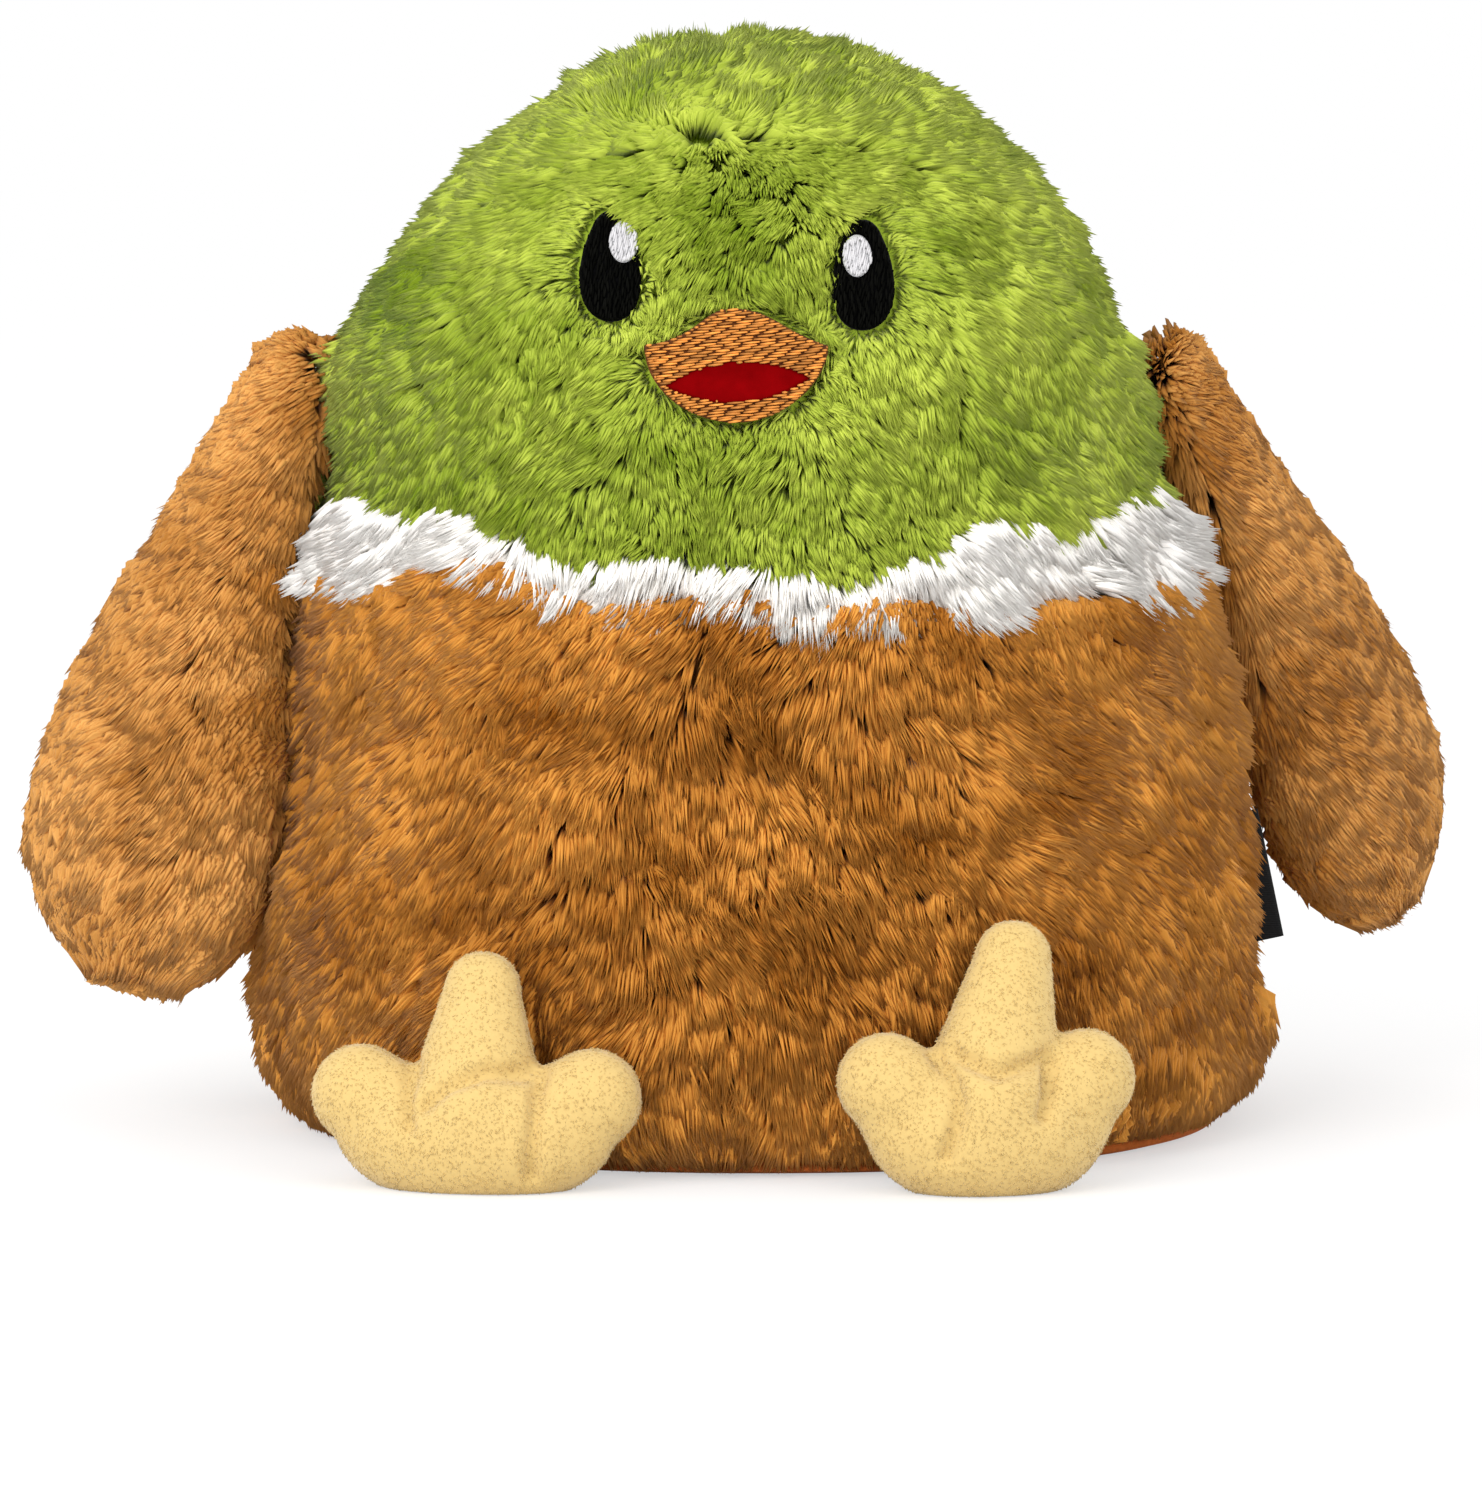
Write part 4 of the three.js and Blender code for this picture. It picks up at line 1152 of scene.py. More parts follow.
class DUCK_OT_wings(bpy.types.Operator):
    """Sew both wings and grow their fur"""

    bl_idname = "duck.wings"
    bl_label = "Wings"

    def execute(self, context):
        fur = context.scene.duck_fur
        cloth = cloth_material("wing_backing", linear(150, 95, 36), linear(170, 109, 46))
        hairs = fibre_material("wing_fur", fur.wing_dark, fur.wing_light, root=0.74)
        for index, (name, wing) in enumerate(WINGS.items()):
            pose = wing_pose(wing)
            for half, start in (("front", 0.5), ("back", 0.0)):

                def place(u, v):
                    return pushed_out(moved(wing_cloth(wing["side"], start + u / 2, v), pose), -5 * MM)

                nodes = (f"{name}_{half}_panel", f"{name}_filling")
                bm = sheet_mesh(28, 40, place, WING_CLOTH)
                sew(f"{name}_{half}_cloth", bm, cloth, name, "brown_plush", *nodes, fill=WING_FILL)
                seed = SEEDS["wings"] + 4 * index + (half == "back")
                self.grow_half(name, wing, half, pose, hairs, fur, seed)
        return {"FINISHED"}

    def grow_half(self, name, wing, half, pose, hairs, fur, seed):
        spacing = 0.94 * fur.spacing if half == "front" else fur.back_spacing
        turn, share = scatter_wing(spacing, seed)
        kept = (turn >= 0.5) == (half == "front")
        turn, share = turn[kept], share[kept]
        side = wing["side"]

        def local(turn, share):
            return wing_cloth(side, turn, np.clip(share, 0, 1))

        around = local(turn + 0.003, share) - local(turn - 0.003, share)
        down = local(turn, share + 0.003) - local(turn, share - 0.003)
        normals = unit(np.cross(unit(down), unit(around)))
        turned = Matrix(pose).to_3x3().to_4x4()
        roots, normals = moved(local(turn, share), pose), moved(normals, turned)
        clear = beyond_torso(roots, -6.5 * MM) > 1
        roots, normals, share = roots[clear], normals[clear], share[clear]
        at_top = share_of(share, 0.3, 0)
        to_body = np.clip(-side * normals[:, 0], 0, 1)
        inner = to_body * share_of(share, 0.85, 0.7)
        raised = inner * np.clip(share / 0.14, 0.25, 1)
        rise = np.interp(share, [0.02, 0.22], [0.7, -1])
        inner_flow = np.stack([0 * rise, np.full(len(rise), -0.8), rise], axis=-1)
        fanned = self.fan(roots, normals, wing) * (1 - inner)[:, None]
        flow = fanned + inner_flow * inner[:, None]

        def hold(points, dice):
            clumps = 0.35 * MM * ripple(points, 8 * MM, 17)
            return held_in(points, pose, side, clumps + dice.normal(0, 0.6 * MM, len(points)))

        pile = Pile(
            fur.wing_pile, lean=67, bend=8, spacing=spacing, width=0.43 * MM, gather=0.22,
            tuft=1.8 * MM, lock=7 * MM, lock_gather=0.16, stray=4, swirl=5,
        )
        piece = grow(
            f"{name}_{half}_fur", roots, normals, flow, pile, hairs, seed, hold,
            floor=0.6 * MM, length_by=1 + 0.15 * at_top + 0.12 * raised,
            lean_by=-18 * raised - 5 * at_top, width_by=1 + 0.7 * np.minimum(1, 3 * to_body),
            # painted shade: the fur is drawn darker where it faces the body, and darker on the left
            # wing, which lies away from the key lamp
            gather_by=1 - 0.5 * raised, tone_shift=0.02 - 0.06 * side - 0.34 * to_body,
        )
        set_up(piece, name, "brown_plush", f"{name}_{half}_panel")

    def fan(self, roots, normals, wing):
        """The fur fans out from where the wing is sewn to the head, less so towards the body."""
        way = roots - np.array([wing["side"] * FAN_X, wing["y"] * MM, FAN_Z])
        spread = 1.35 * np.clip(0.9 + 0.8 * wing["side"] * normals[:, 0], 0.1, 1)
        return unit(way * np.stack([spread, np.full(len(way), 0.3), np.ones(len(way))], axis=-1))


def held_in(points, pose, side, proud):
    """Points beyond a wing's surface brought back to just proud of it, as fur that lies on it does."""
    local = moved(points, pose.inverted())
    local[:, 2] = np.clip(local[:, 2], -WING_TIP - proud, WING_TOP + proud)
    down = -local[:, 2]
    half = np.interp(down, WING_CURVE[:, 1], WING_CURVE[:, 0])
    blunt = np.where(down < 0, 7.5 * MM, np.where(down > 0.9 * WING_TIP, 8 * MM, 0))
    half = np.maximum(half, blunt) - np.interp(down, [0.07, 0.1], [1 * MM, 0])
    bow = side * bow_at(down)
    at_top = share_of(down, 36 * MM, 0)
    spread = np.interp(down / MM, [10, 45, 62, 100], [9, 8, 4, 1]) * MM
    within = np.where(side * local[:, 0] < 0, spread, 0)
    wide, thick = half + within + proud, half * WING_THICKNESS + 1.5 * MM * at_top + proud
    beyond = np.hypot((local[:, 0] - bow) / wide, local[:, 1] / thick)
    scale = 1 / np.maximum(beyond, 1)
    held = local.copy()
    held[:, 0] = bow + (local[:, 0] - bow) * scale
    held[:, 1] = local[:, 1] * scale
    held = moved(held, pose)
    outward = side * (held[:, 0] - pose.translation.x)
    held[:, 2] = np.minimum(held[:, 2], SHOULDER_HEIGHT + WING_TOP - 0.6 * outward + proud)
    return held


def pushed_out(points, clearance):
    """Points inside the torso moved out sideways to just clear of it."""
    points = points.copy()
    half, lean, depth = section_at(np.clip(points[:, 2], 0, CROWN))
    half = half + clearance
    along = np.clip(np.abs(points[:, 1]) / (half * depth), 0, 1)
    least = half * (1 - along**SQUARENESS) ** (1 / SQUARENESS)
    across = points[:, 0] - lean
    inside_now = np.abs(across) < least
    points[inside_now, 0] = (lean + np.sign(across) * least)[inside_now]
    return points


# Face


def bezier(points, samples=14):
    t = np.linspace(0, 1, samples, endpoint=False)[:, None]
    a, b, c, d = np.asarray(points, float)
    return (1 - t) ** 3 * a + 3 * t * (1 - t) ** 2 * b + 3 * t**2 * (1 - t) * c + t**3 * d


def outline_of(start, *spans):
    """A closed outline of cubic spans, each of two controls and an end, in millimetres."""
    found, here = [], start
    for first, second, end in spans:
        found.append(bezier((here, first, second, end)))
        here = end
    return np.vstack(found)


def eye_outline(middle):
    x, z = middle
    w, h = EYE_SIZE[0] / 2, EYE_SIZE[1] / 2
    return outline_of(
        (x, z - h),
        ((x + w * 1.1, z - h), (x + w * 1.2, z - h * 0.1), (x + w * 0.6, z + h * 0.6)),
        ((x + w * 0.35, z + h), (x - w * 0.35, z + h), (x - w * 0.6, z + h * 0.6)),
        ((x - w * 1.2, z - h * 0.1), (x - w * 1.1, z - h), (x, z - h)),
    )


def glint_outline(middle, glint):
    angle = np.linspace(0, TAU, 48, endpoint=False)
    x = middle[0] + glint[0] + GLINT_SIZE[0] / 2 * np.cos(angle)
    z = middle[1] + glint[1] + GLINT_SIZE[1] / 2 * np.sin(angle)
    return np.stack([x, z], axis=-1)


def beak_outline():
    x, w, corner = BEAK_X, BEAK_HALF_WIDTH, BEAK_MIDDLE + 4
    top, bottom = BEAK_MIDDLE + BEAK_PEAK, BEAK_MIDDLE - BEAK_LIP
    return outline_of(
        (x - w, corner),
        ((x - w, corner - 8.5), (x - w * 0.5, bottom), (x, bottom)),
        ((x + w * 0.5, bottom), (x + w, corner - 7), (x + w, corner)),
        ((x + w * 0.5, corner + 2.6), (x + w * 0.4, top), (x - 0.8, top)),
        ((x - w * 0.38, top), (x - w * 0.4, corner + 1.4), (x - w, corner)),
    )


def mouth_outline(grow_by=0.0):
    w, h = MOUTH_HALF_WIDTH + grow_by, (MOUTH_HALF_HEIGHT + grow_by) * 1.33
    x, z = MOUTH_MIDDLE
    left, right = (x - w, z - MOUTH_SLANT), (x + w, z + MOUTH_SLANT)
    return outline_of(
        left,
        ((x - w * 0.4, z - h), (x + w * 0.4, z - h), right),
        ((x + w * 0.4, z + h), (x - w * 0.4, z + h), left),
    )


def inside(outline, x, z):
    """Which places lie inside a closed outline."""
    found = np.zeros(len(x), bool)
    for (x0, z0), (x1, z1) in zip(outline, np.roll(outline, -1, axis=0)):
        if z0 == z1:
            continue
        spans = (z0 > z) != (z1 > z)
        found ^= spans & (x < x0 + (z - z0) * (x1 - x0) / (z1 - z0))
    return found


def patch_mesh(outline, out, dome, thickness):
    """A patch laid on the face inside an outline, a little domed."""
    middle = outline.mean(0)
    ring = np.vstack([outline, outline[:1]])
    steps = np.arange(len(ring))

    def place(u, v):
        spot = np.stack([np.interp(u * steps[-1], steps, ring[:, k]) for k in (0, 1)], axis=-1)
        spot = middle + (spot - middle) * v[:, None]
        lift = out + dome * (1 - v**3)
        return on_patch(spot, lift)

    return sheet_mesh(len(outline), 8, place, thickness * MM)


def on_patch(spots, out):
    """Places of the front view, in millimetres, laid on the face."""
    return face_points(spots[:, 0] * MM, spots[:, 1] * MM, out * MM)


def stitches(name, outline, holes, width, material, seed, slant, pitch, length, out, loose):
    """Rows of stitches that fill an outline, in millimetres."""
    dice = np.random.default_rng(seed)
    way = np.array([math.cos(math.radians(slant)), math.sin(math.radians(slant))])
    across = np.array([-way[1], way[0]])
    middle = outline.mean(0)
    reach = np.abs(outline - middle).max() * 1.6
    runs = []
    for row, offset in enumerate(np.arange(-reach, reach, pitch)):
        first = -reach + (row % 3) * length / 3 + dice.uniform(-0.2, 0.2) * length
        for start in np.arange(first, reach, length * 1.02):
            steps = np.linspace(start, start + length * dice.uniform(0.85, 1.1), 9)
            aside = offset + np.linspace(*dice.normal(0, loose * pitch, 2), 9)
            line = middle + steps[:, None] * way + aside[:, None] * across
            kept = inside(outline, line[:, 0], line[:, 1])
            for hole in holes:
                kept &= ~inside(hole, line[:, 0], line[:, 1])
            if kept.sum() > 1:
                runs.append(line[kept][[0, -1]])
    starts, ends = np.array(runs).transpose(1, 0, 2)
    count = len(runs)
    lift = out + dice.normal(0, 0.06, count)
    middles = on_patch((starts + ends) / 2, lift)
    starts, ends = on_patch(starts, out - 0.35), on_patch(ends, out - 0.35)
    tones = np.clip(dice.normal(0.5, 0.24, count), 0.04, 0.96)
    widths = width * MM * dice.uniform(0.85, 1.15, count)
    facing = np.tile([0.0, -1.0, 0.0], (count, 1))
    template = spindle_template(5, STITCH)
    return copies_mesh(name, template, starts, middles, ends, widths, tones, material, facing)


class DUCK_OT_face(bpy.types.Operator):
    """Sew the eyes, glints, beak and mouth"""

    bl_idname = "duck.face"
    bl_label = "Face"

    def execute(self, context):
        face = context.scene.duck_face
        eye, glint, beak, mouth = face.eye_thread, face.glint_thread, face.beak_thread, face.mouth_cloth
        black = fibre_material(
            "black_thread", scaled(eye, 0.5), scaled(eye, 1.6),
            root=0.8, middle=1, roughness=0.9, sheen=0, specular=0.02,
        )
        white = fibre_material(
            "white_thread", scaled(glint, 0.86), glint,
            root=0.85, middle=1, roughness=0.5, sheen=0, specular=0.4,
        )
        orange = fibre_material(
            "orange_thread", scaled(beak, 0.55), scaled(beak, 1.5),
            root=0.45, middle=1, roughness=0.6, sheen=0, specular=0.25,
        )
        under_black = cloth_material("eye_ground", linear(3, 3, 3), linear(9, 9, 10), 1500, specular=0)
        under_white = cloth_material("glint_ground", linear(196, 196, 198), linear(220, 220, 222), 1500)
        under_orange = cloth_material("beak_ground", linear(70, 34, 14), linear(110, 60, 26), 1500)
        red = cloth_material(
            "red_satin", scaled(mouth, 0.7), mouth, 260, roughness=0.8, sheen=0, specular=0, bump=0.08
        )
        width = face.thread / MM

        def embroider(name, outline, holes, ground, cloth, slot, node, **sewn):
            """Lays a ground cloth inside the outline and fills it with stitches."""
            sew(f"{name}_ground", patch_mesh(outline, *ground), cloth, "torso", slot, node)
            piece = stitches(f"{name}_stitches", outline, holes, width, **sewn)
            set_up(piece, "torso", slot, node)

        eyes = (("right_eye", RIGHT_EYE, RIGHT_GLINT), ("left_eye", LEFT_EYE, LEFT_GLINT))
        for index, (name, middle, place) in enumerate(eyes):
            shape, shine = eye_outline(middle), glint_outline(middle, place)
            embroider(
                name, shape, (shine,), EYE_GROUND, under_black, "black_thread", name,
                material=black, seed=SEEDS["eyes"] + index, **EYE_STITCHES,
            )
            embroider(
                f"{name}_glint", shine, (), GLINT_GROUND, under_white, "white_thread", f"{name}_glint",
                material=white, seed=SEEDS["glints"] + index, **GLINT_STITCHES,
            )
        embroider(
            "beak", beak_outline(), (mouth_outline(),), BEAK_GROUND, under_orange, "orange_thread",
            "beak_embroidery", material=orange, seed=SEEDS["beak"], length=face.stitch / MM,
            **BEAK_STITCHES,
        )
        lining = patch_mesh(mouth_outline(0.3), *MOUTH_GROUND)
        sew("mouth_lining", lining, red, "torso", "red_satin", "mouth_patch")
        return {"FINISHED"}


# Feet


def add_ball(bm, spot, size, radius=1, segments=32, rings=20):
    """Adds a ball stretched by the size along X, Y and Z."""
    bmesh.ops.create_uvsphere(
        bm, u_segments=segments, v_segments=rings, radius=radius,
        matrix=Matrix.Translation(spot) @ Matrix.Diagonal((*size, 1)),
    )


def add_toe(bm, toe, wide, tall, side=1, lean=None):
    """Adds two balls and the cone between them."""

    def stretched(spot):
        return Vector((spot[0] * side * wide, spot[1], spot[2] * tall))

    root, tip = stretched(toe["root"]), stretched(toe["tip"])
    if lean is not None:
        tip.x = lean * wide
    way = tip - root
    turn = way.to_track_quat("Z", "Y").to_matrix().to_4x4()
    add_ball(bm, root, TOE_STRETCH, toe["root_radius"])
    add_ball(bm, tip, TOE_STRETCH, toe["tip_radius"])
    bmesh.ops.create_cone(
        bm, cap_ends=True, segments=32, radius1=toe["root_radius"], radius2=toe["tip_radius"],
        depth=way.length,
        matrix=Matrix.Translation((root + tip) / 2) @ Matrix.Diagonal((*TOE_STRETCH, 1)) @ turn,
    )


def foot_form(foot):
    """The foot's stuffed shape in millimetres, before its creases are drawn in."""
    bm = bmesh.new()
    wide, tall = foot["wide"], foot["tall"]
    size = (HEEL["half_width"] * wide, HEEL["half_depth"], HEEL["half_height"])
    add_ball(bm, (0, HEEL["y"], HEEL["z"]), size, segments=40, rings=24)
    add_toe(bm, MIDDLE_TOE, wide, tall, lean=foot["lean"])
    x, y, z = SIDE_PAD["middle"]
    for side in (-1, 1):
        add_toe(bm, SIDE_TOE, wide, tall, side)
        add_ball(bm, (side * x * wide, y, z * tall), TOE_STRETCH, SIDE_PAD["radius"])
    return bm


def smoothed(bm, factor):
    """Moves each corner of a mesh towards the middle of its neighbours."""
    bmesh.ops.smooth_vert(
        bm, verts=bm.verts, factor=factor, use_axis_x=True, use_axis_y=True, use_axis_z=True
    )


def remeshed(bm, size, rounds):
    """Closed overlapping shapes joined into one even skin and smoothed."""
    mesh = bpy.data.meshes.new("loose_shapes")
    bm.to_mesh(mesh)
    bm.free()
    holder = bpy.data.objects.new("loose_shapes", mesh)
    bpy.context.scene.collection.objects.link(holder)
    modifier = holder.modifiers.new("Remesh", "REMESH")
    modifier.mode = "VOXEL"
    modifier.voxel_size = size
    graph = bpy.context.evaluated_depsgraph_get()
    made = bpy.data.meshes.new_from_object(holder.evaluated_get(graph))
    bpy.data.objects.remove(holder)
    bpy.data.meshes.remove(mesh)
    bm = bmesh.new()
    bm.from_mesh(made)
    bpy.data.meshes.remove(made)
    for _ in range(rounds):
        smoothed(bm, 0.5)
    return bm


def groove(points, line, depth, width):
    """How far a crease along a line of the foot's front draws each point in."""
    nearest = np.min([gap_to(points, a, b) for a, b in zip(line, line[1:])], axis=0)
    return depth * faded(nearest, width)


class DUCK_OT_feet(bpy.types.Operator):
    """Stuff the two three-toed feet and raise their nap"""

    bl_idname = "duck.feet"
    bl_label = "Feet"

    def execute(self, context):
        settings = context.scene.duck_foot
        plush = settings.plush
        skin = cloth_material("yellow_plush", scaled(plush, 0.95), plush, sheen=0.3, bump=0.1)
        nap = fibre_material(
            "yellow_nap", scaled(plush, 0.96), scaled(plush, 1.06), root=1, middle=1, sheen=0.3
        )
        for index, (name, foot) in enumerate(FEET.items()):
            self.stuff(name, foot, skin, nap, settings.nap, SEEDS["feet"] + index)
        return {"FINISHED"}

    def stuff(self, name, foot, skin, nap, nap_length, seed):
        bm = remeshed(foot_form(foot), 0.9, 6)
        at = np.array([vert.co for vert in bm.verts])
        bm.normal_update()
        normals = np.array([vert.normal for vert in bm.verts])
        at[:, 2] -= FOOT_SINK[name]
        flat = at[:, [0, 2]]
        draw = np.max([groove(flat, line, *CREASE_IN_PLUSH) for line in FOOT_CREASES[name]], axis=0)
        draw *= np.clip(-normals[:, 1] * 1.6, 0, 1)
        draw += np.where(np.abs(normals[:, 1]) < FOOT_SEAM_WIDTH, FOOT_SEAM_DEPTH, 0)
        at -= normals * draw[:, None]
        at[:, 2] = np.maximum(at[:, 2], 0.15)
        pose = Matrix.Translation((foot["x"] * MM, foot["y"] * MM, 0))
        pose = pose @ Matrix.Rotation(math.radians(foot["turn"]), 4, "Z") @ Matrix.Scale(MM, 4)
        placed = moved(at, pose)
        belly = face_points(placed[:, 0], np.maximum(placed[:, 2], 1 * MM), -1.5 * MM)
        placed[:, 1] = np.minimum(placed[:, 1], belly[:, 1])
        for vert, spot in zip(bm.verts, placed):
            vert.co = spot
        smoothed(bm, 0.3)
        bm.normal_update()
        roots, ways = self.nap_roots(bm, seed)
        nodes = (f"{name}_front_panel", f"{name}_back_panel", f"{name}_filling")
        sew(f"{name}_plush", bm, skin, name, "yellow_minky", *nodes, fill=FOOT_FILL)
        fuzz = self.raise_nap(f"{name}_nap", roots, ways, nap_length, nap, seed)
        set_up(fuzz, name, "yellow_minky", *nodes)

    def raise_nap(self, name, roots, ways, nap_length, nap, seed):
        """Short hairs that lie downwards on the skin."""
        dice = np.random.default_rng(seed)
        count = len(roots)
        flow = np.tile([0.0, 0.0, -1.0], (count, 1)) + 0.35 * dice.normal(size=(count, 3))
        flow = along_cloth(flow, ways)
        roots = roots - 0.4 * MM * ways
        lean = 44 + 6 * ripple(roots, 6 * MM, seed) + dice.normal(0, 6, count)
        length = (nap_length * dice.uniform(0.8, 1.15, count))[:, None]
        middles = roots + length * 0.5 * tilted(ways, flow, lean - 12)
        tips = middles + length * 0.5 * tilted(ways, flow, lean + 12)
        tips[:, 2] = np.maximum(tips[:, 2], 0.2 * MM)
        tones = 0.5 + 0.14 * ripple(roots, 7 * MM, seed + 2) + dice.normal(0, 0.06, count)
        widths, tones = np.full(count, 0.24 * MM), np.clip(tones, 0.03, 0.97)
        facing = ways + 0.2 * dice.normal(size=(count, 3))
        return copies_mesh(name, lock_template(), roots, middles, tips, widths, tones, nap, facing)

    def nap_roots(self, bm, seed):
        """Places and directions of the nap's hairs, spread evenly over the skin."""
        bmesh.ops.triangulate(bm, faces=bm.faces)
        dice = np.random.default_rng(seed + 50)
        corners = np.array([[vert.co for vert in face.verts] for face in bm.faces])
        turned = np.array([[vert.normal for vert in face.verts] for face in bm.faces])
        first, second, third = corners.transpose(1, 0, 2)
        area = 0.5 * np.linalg.norm(np.cross(second - first, third - first), axis=1)
        count = int(area.sum() / (0.62 * MM) ** 2)
        face = dice.choice(len(corners), count, p=area / area.sum())
        shares = dice.dirichlet((1, 1, 1), count)[:, :, None]
        roots = (corners[face] * shares).sum(1)
        return roots, unit((turned[face] * shares).sum(1))


# Base panel and label


class DUCK_OT_trim(bpy.types.Operator):
    """Lay the base panel and sew in the side label"""

    bl_idname = "duck.trim"
    bl_label = "Base and label"

    def execute(self, context):
        trim = context.scene.duck_trim
        dark = scaled(trim.base_cloth, 0.75)
        cloth = cloth_material("base_cloth", dark, trim.base_cloth, scale=700, bump=0.5)
        shares, levels = np.array(BASE_PROFILE).T
        steps = np.arange(len(shares))

        def place(u, v):
            share, level = (np.interp(v * steps[-1], steps, line) for line in (shares, levels))
            edge = torso_points(u * TAU, np.full(len(u), 2 * MM), -1 * MM)
            middle = np.array([4 * MM, 0, 0])
            spot = middle + (edge - middle) * share[:, None]
            spot[:, 2] = level * MM
            return spot

        bm = sheet_mesh(120, len(BASE_PROFILE) - 1, place, 0)
        sew("base_cloth_panel", bm, cloth, "torso", "base_cloth", "base_panel")
        self.sew_label(trim)
        return {"FINISHED"}

    def sew_label(self, trim):
        """A ribbon folded in two, with its fold outermost, standing in the side seam."""
        ribbon = cloth_material(
            "black_ribbon", scaled(trim.ribbon, 0.6), scaled(trim.ribbon, 1.3),
            scale=2600, roughness=0.45, sheen=0, bump=0.35, weave=700,
        )
        heights = np.array([LABEL["bottom"], LABEL["top"]]) * MM
        low, high = torso_points(np.zeros(2), heights, -LABEL["depth"] * MM)
        rise = Vector(high - low)
        outward = Vector((0, 1, 0)).cross(rise).normalized()
        reach, half = LABEL["reach"], LABEL["half_opening"]
        side = [(0, half), (reach / 2, 1.1 * half), (reach - 0.8, half), (reach - 0.25, 0.7 * half)]
        path = [(x, -y) for x, y in side] + [(reach, 0)] + side[::-1]
        bm = bmesh.new()
        verts = []
        for x, y in path:
            spot = Vector(low) + outward * (x - LABEL["root"]) * MM + Vector((0, y * MM, 0))
            verts.append(bm.verts.new(spot))
        edges = [bm.edges.new(pair) for pair in zip(verts, verts[1:])]
        made = bmesh.ops.extrude_edge_only(bm, edges=edges)
        top = [item for item in made["geom"] if isinstance(item, bmesh.types.BMVert)]
        bmesh.ops.translate(bm, verts=top, vec=rise)
        bmesh.ops.recalc_face_normals(bm, faces=bm.faces)
        bmesh.ops.solidify(bm, geom=bm.faces[:], thickness=LABEL["ribbon"] * MM)
        bmesh.ops.recalc_face_normals(bm, faces=bm.faces)
        sew("side_label_ribbon", bm, ribbon, "label", "black_ribbon", "side_label", smooth=False)


# Stage


def mix_shaders(tree, share, first, second, output):
    """Feeds an output a mix of two shaders, with this share of the second."""
    mix = tree.nodes.new("ShaderNodeMixShader")
    for source, socket in zip((share, first, second), mix.inputs):
        tree.links.new(source, socket)
    tree.links.new(mix.outputs[0], tree.nodes[output].inputs[0])


def aim(thing, place, target):
    """Places a lamp or the camera so that it looks at the target."""
    thing.location = place
    thing.rotation_euler = (Vector(target) - Vector(place)).to_track_quat("-Z", "Y").to_euler()
    bpy.context.scene.collection.objects.link(thing)


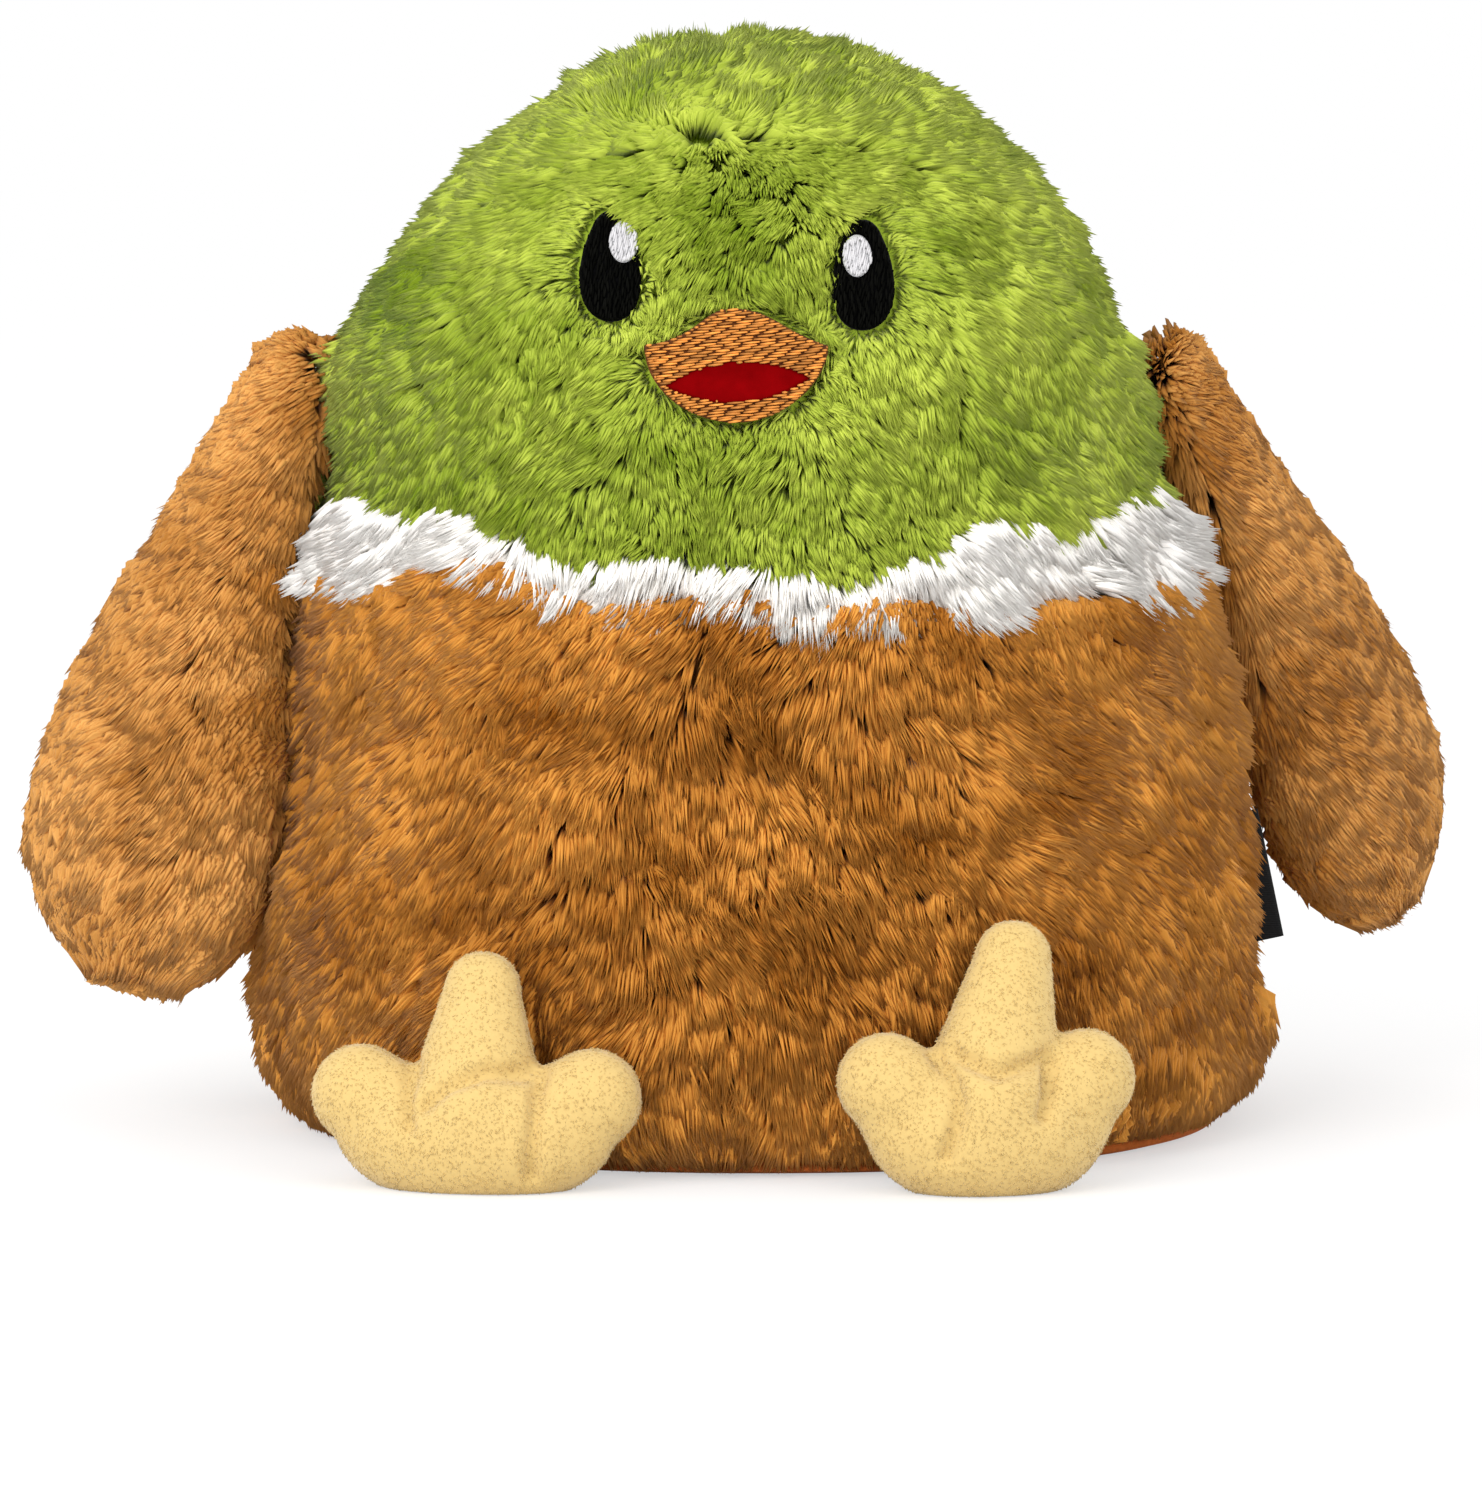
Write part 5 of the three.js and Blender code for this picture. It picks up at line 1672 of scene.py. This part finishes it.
class DUCK_OT_stage(bpy.types.Operator):
    """Set the floor, the light and the camera"""

    bl_idname = "duck.stage"
    bl_label = "Stage"

    def execute(self, context):
        settings = context.scene.duck_stage
        context.scene.view_settings.view_transform = "Standard"
        self.light(context, settings)
        self.lay_floor(settings.fill_light)
        self.place_camera(context, settings)
        return {"FINISHED"}

    def light(self, context, settings):
        world = bpy.data.worlds.new("studio")
        context.scene.world = world
        world.use_nodes = True
        tree = world.node_tree
        even = tree.nodes["Background"]
        even.inputs["Color"].default_value = (1, 1, 1, 1)
        even.inputs["Strength"].default_value = settings.fill_light
        seen = tree.nodes.new("ShaderNodeBackground")
        seen.inputs["Color"].default_value = (1, 1, 1, 1)
        mix_shaders(tree, seen_rays(tree), even.outputs[0], seen.outputs[0], "World Output")
        for name, place, share in LAMPS:
            data = bpy.data.lights.new(name, "AREA")
            data.size = LAMP_SIZE
            data.energy = settings.key_light * share
            aim(bpy.data.objects.new(name, data), place, LAMP_AIM)

    def lay_floor(self, fill_light):
        material, tree, bsdf = shader("pale_floor", 0.9, specular=0.0)
        bsdf.inputs["Base Color"].default_value = (FLOOR_GREY, FLOOR_GREY, FLOOR_GREY, 1)
        glow = tree.nodes.new("ShaderNodeEmission")
        glow.inputs["Color"].default_value = (1, 1, 1, 1)
        lit = (1 - FLOOR_GLOW) * FLOOR_GREY * fill_light
        glow.inputs["Strength"].default_value = (1 - lit) / FLOOR_GLOW
        share = tree.nodes.new("ShaderNodeMath")
        share.operation = "MULTIPLY"
        share.inputs[1].default_value = FLOOR_GLOW
        tree.links.new(seen_rays(tree), share.inputs[0])
        mix_shaders(tree, share.outputs[0], bsdf.outputs[0], glow.outputs[0], "Material Output")
        bm = bmesh.new()
        bmesh.ops.create_grid(bm, x_segments=8, y_segments=8, size=30)
        finished("floor", bm, material)

    def place_camera(self, context, settings):
        data = bpy.data.cameras.new("camera")
        data.lens = settings.lens
        data.sensor_fit = "HORIZONTAL"
        data.sensor_width = 36
        data.clip_end = 50
        camera = bpy.data.objects.new("camera", data)
        aim(camera, CAMERA_PLACE, CAMERA_AIM)
        context.scene.camera = camera


def seen_rays(tree):
    """1 for what the camera sees, straight or in gloss or glass, and 0 for light on the object."""
    path = tree.nodes.new("ShaderNodeLightPath")
    total = path.outputs["Is Camera Ray"]
    for kind in ("Is Glossy Ray", "Is Transmission Ray"):
        add = tree.nodes.new("ShaderNodeMath")
        add.operation = "MAXIMUM"
        tree.links.new(total, add.inputs[0])
        tree.links.new(path.outputs[kind], add.inputs[1])
        total = add.outputs[0]
    return total


class DUCK_PT_panel(bpy.types.Panel):
    """Shows the buttons that build the duck's pieces, and the settings"""

    bl_label = "Plush Duck"
    bl_idname = "DUCK_PT_panel"
    bl_space_type = "VIEW_3D"
    bl_region_type = "UI"
    bl_category = "Plush Duck"

    def draw(self, context):
        for operator in OPERATORS:
            self.layout.operator(operator.bl_idname)
        for settings in SETTINGS:
            group = getattr(context.scene, settings)
            for name in group.bl_rna.properties.keys():
                if name not in ("rna_type", "name"):
                    self.layout.prop(group, name)


SETTINGS = {
    "duck_fur": FurSettings,
    "duck_face": FaceSettings,
    "duck_foot": FootSettings,
    "duck_trim": TrimSettings,
    "duck_stage": StageSettings,
}
OPERATORS = (
    DUCK_OT_stage,
    DUCK_OT_body,
    DUCK_OT_collar,
    DUCK_OT_head,
    DUCK_OT_face,
    DUCK_OT_wings,
    DUCK_OT_feet,
    DUCK_OT_trim,
)


def register():
    for kind in (*SETTINGS.values(), *OPERATORS, DUCK_PT_panel):
        bpy.utils.register_class(kind)
    for name, kind in SETTINGS.items():
        setattr(bpy.types.Scene, name, PointerProperty(type=kind))


def unregister():
    for name in SETTINGS:
        delattr(bpy.types.Scene, name)
    for kind in (DUCK_PT_panel, *reversed(OPERATORS), *SETTINGS.values()):
        bpy.utils.unregister_class(kind)


def main():
    register()
    for operator in OPERATORS:
        group, name = operator.bl_idname.split(".")
        getattr(getattr(bpy.ops, group), name)()


if __name__ == "__main__":
    main()
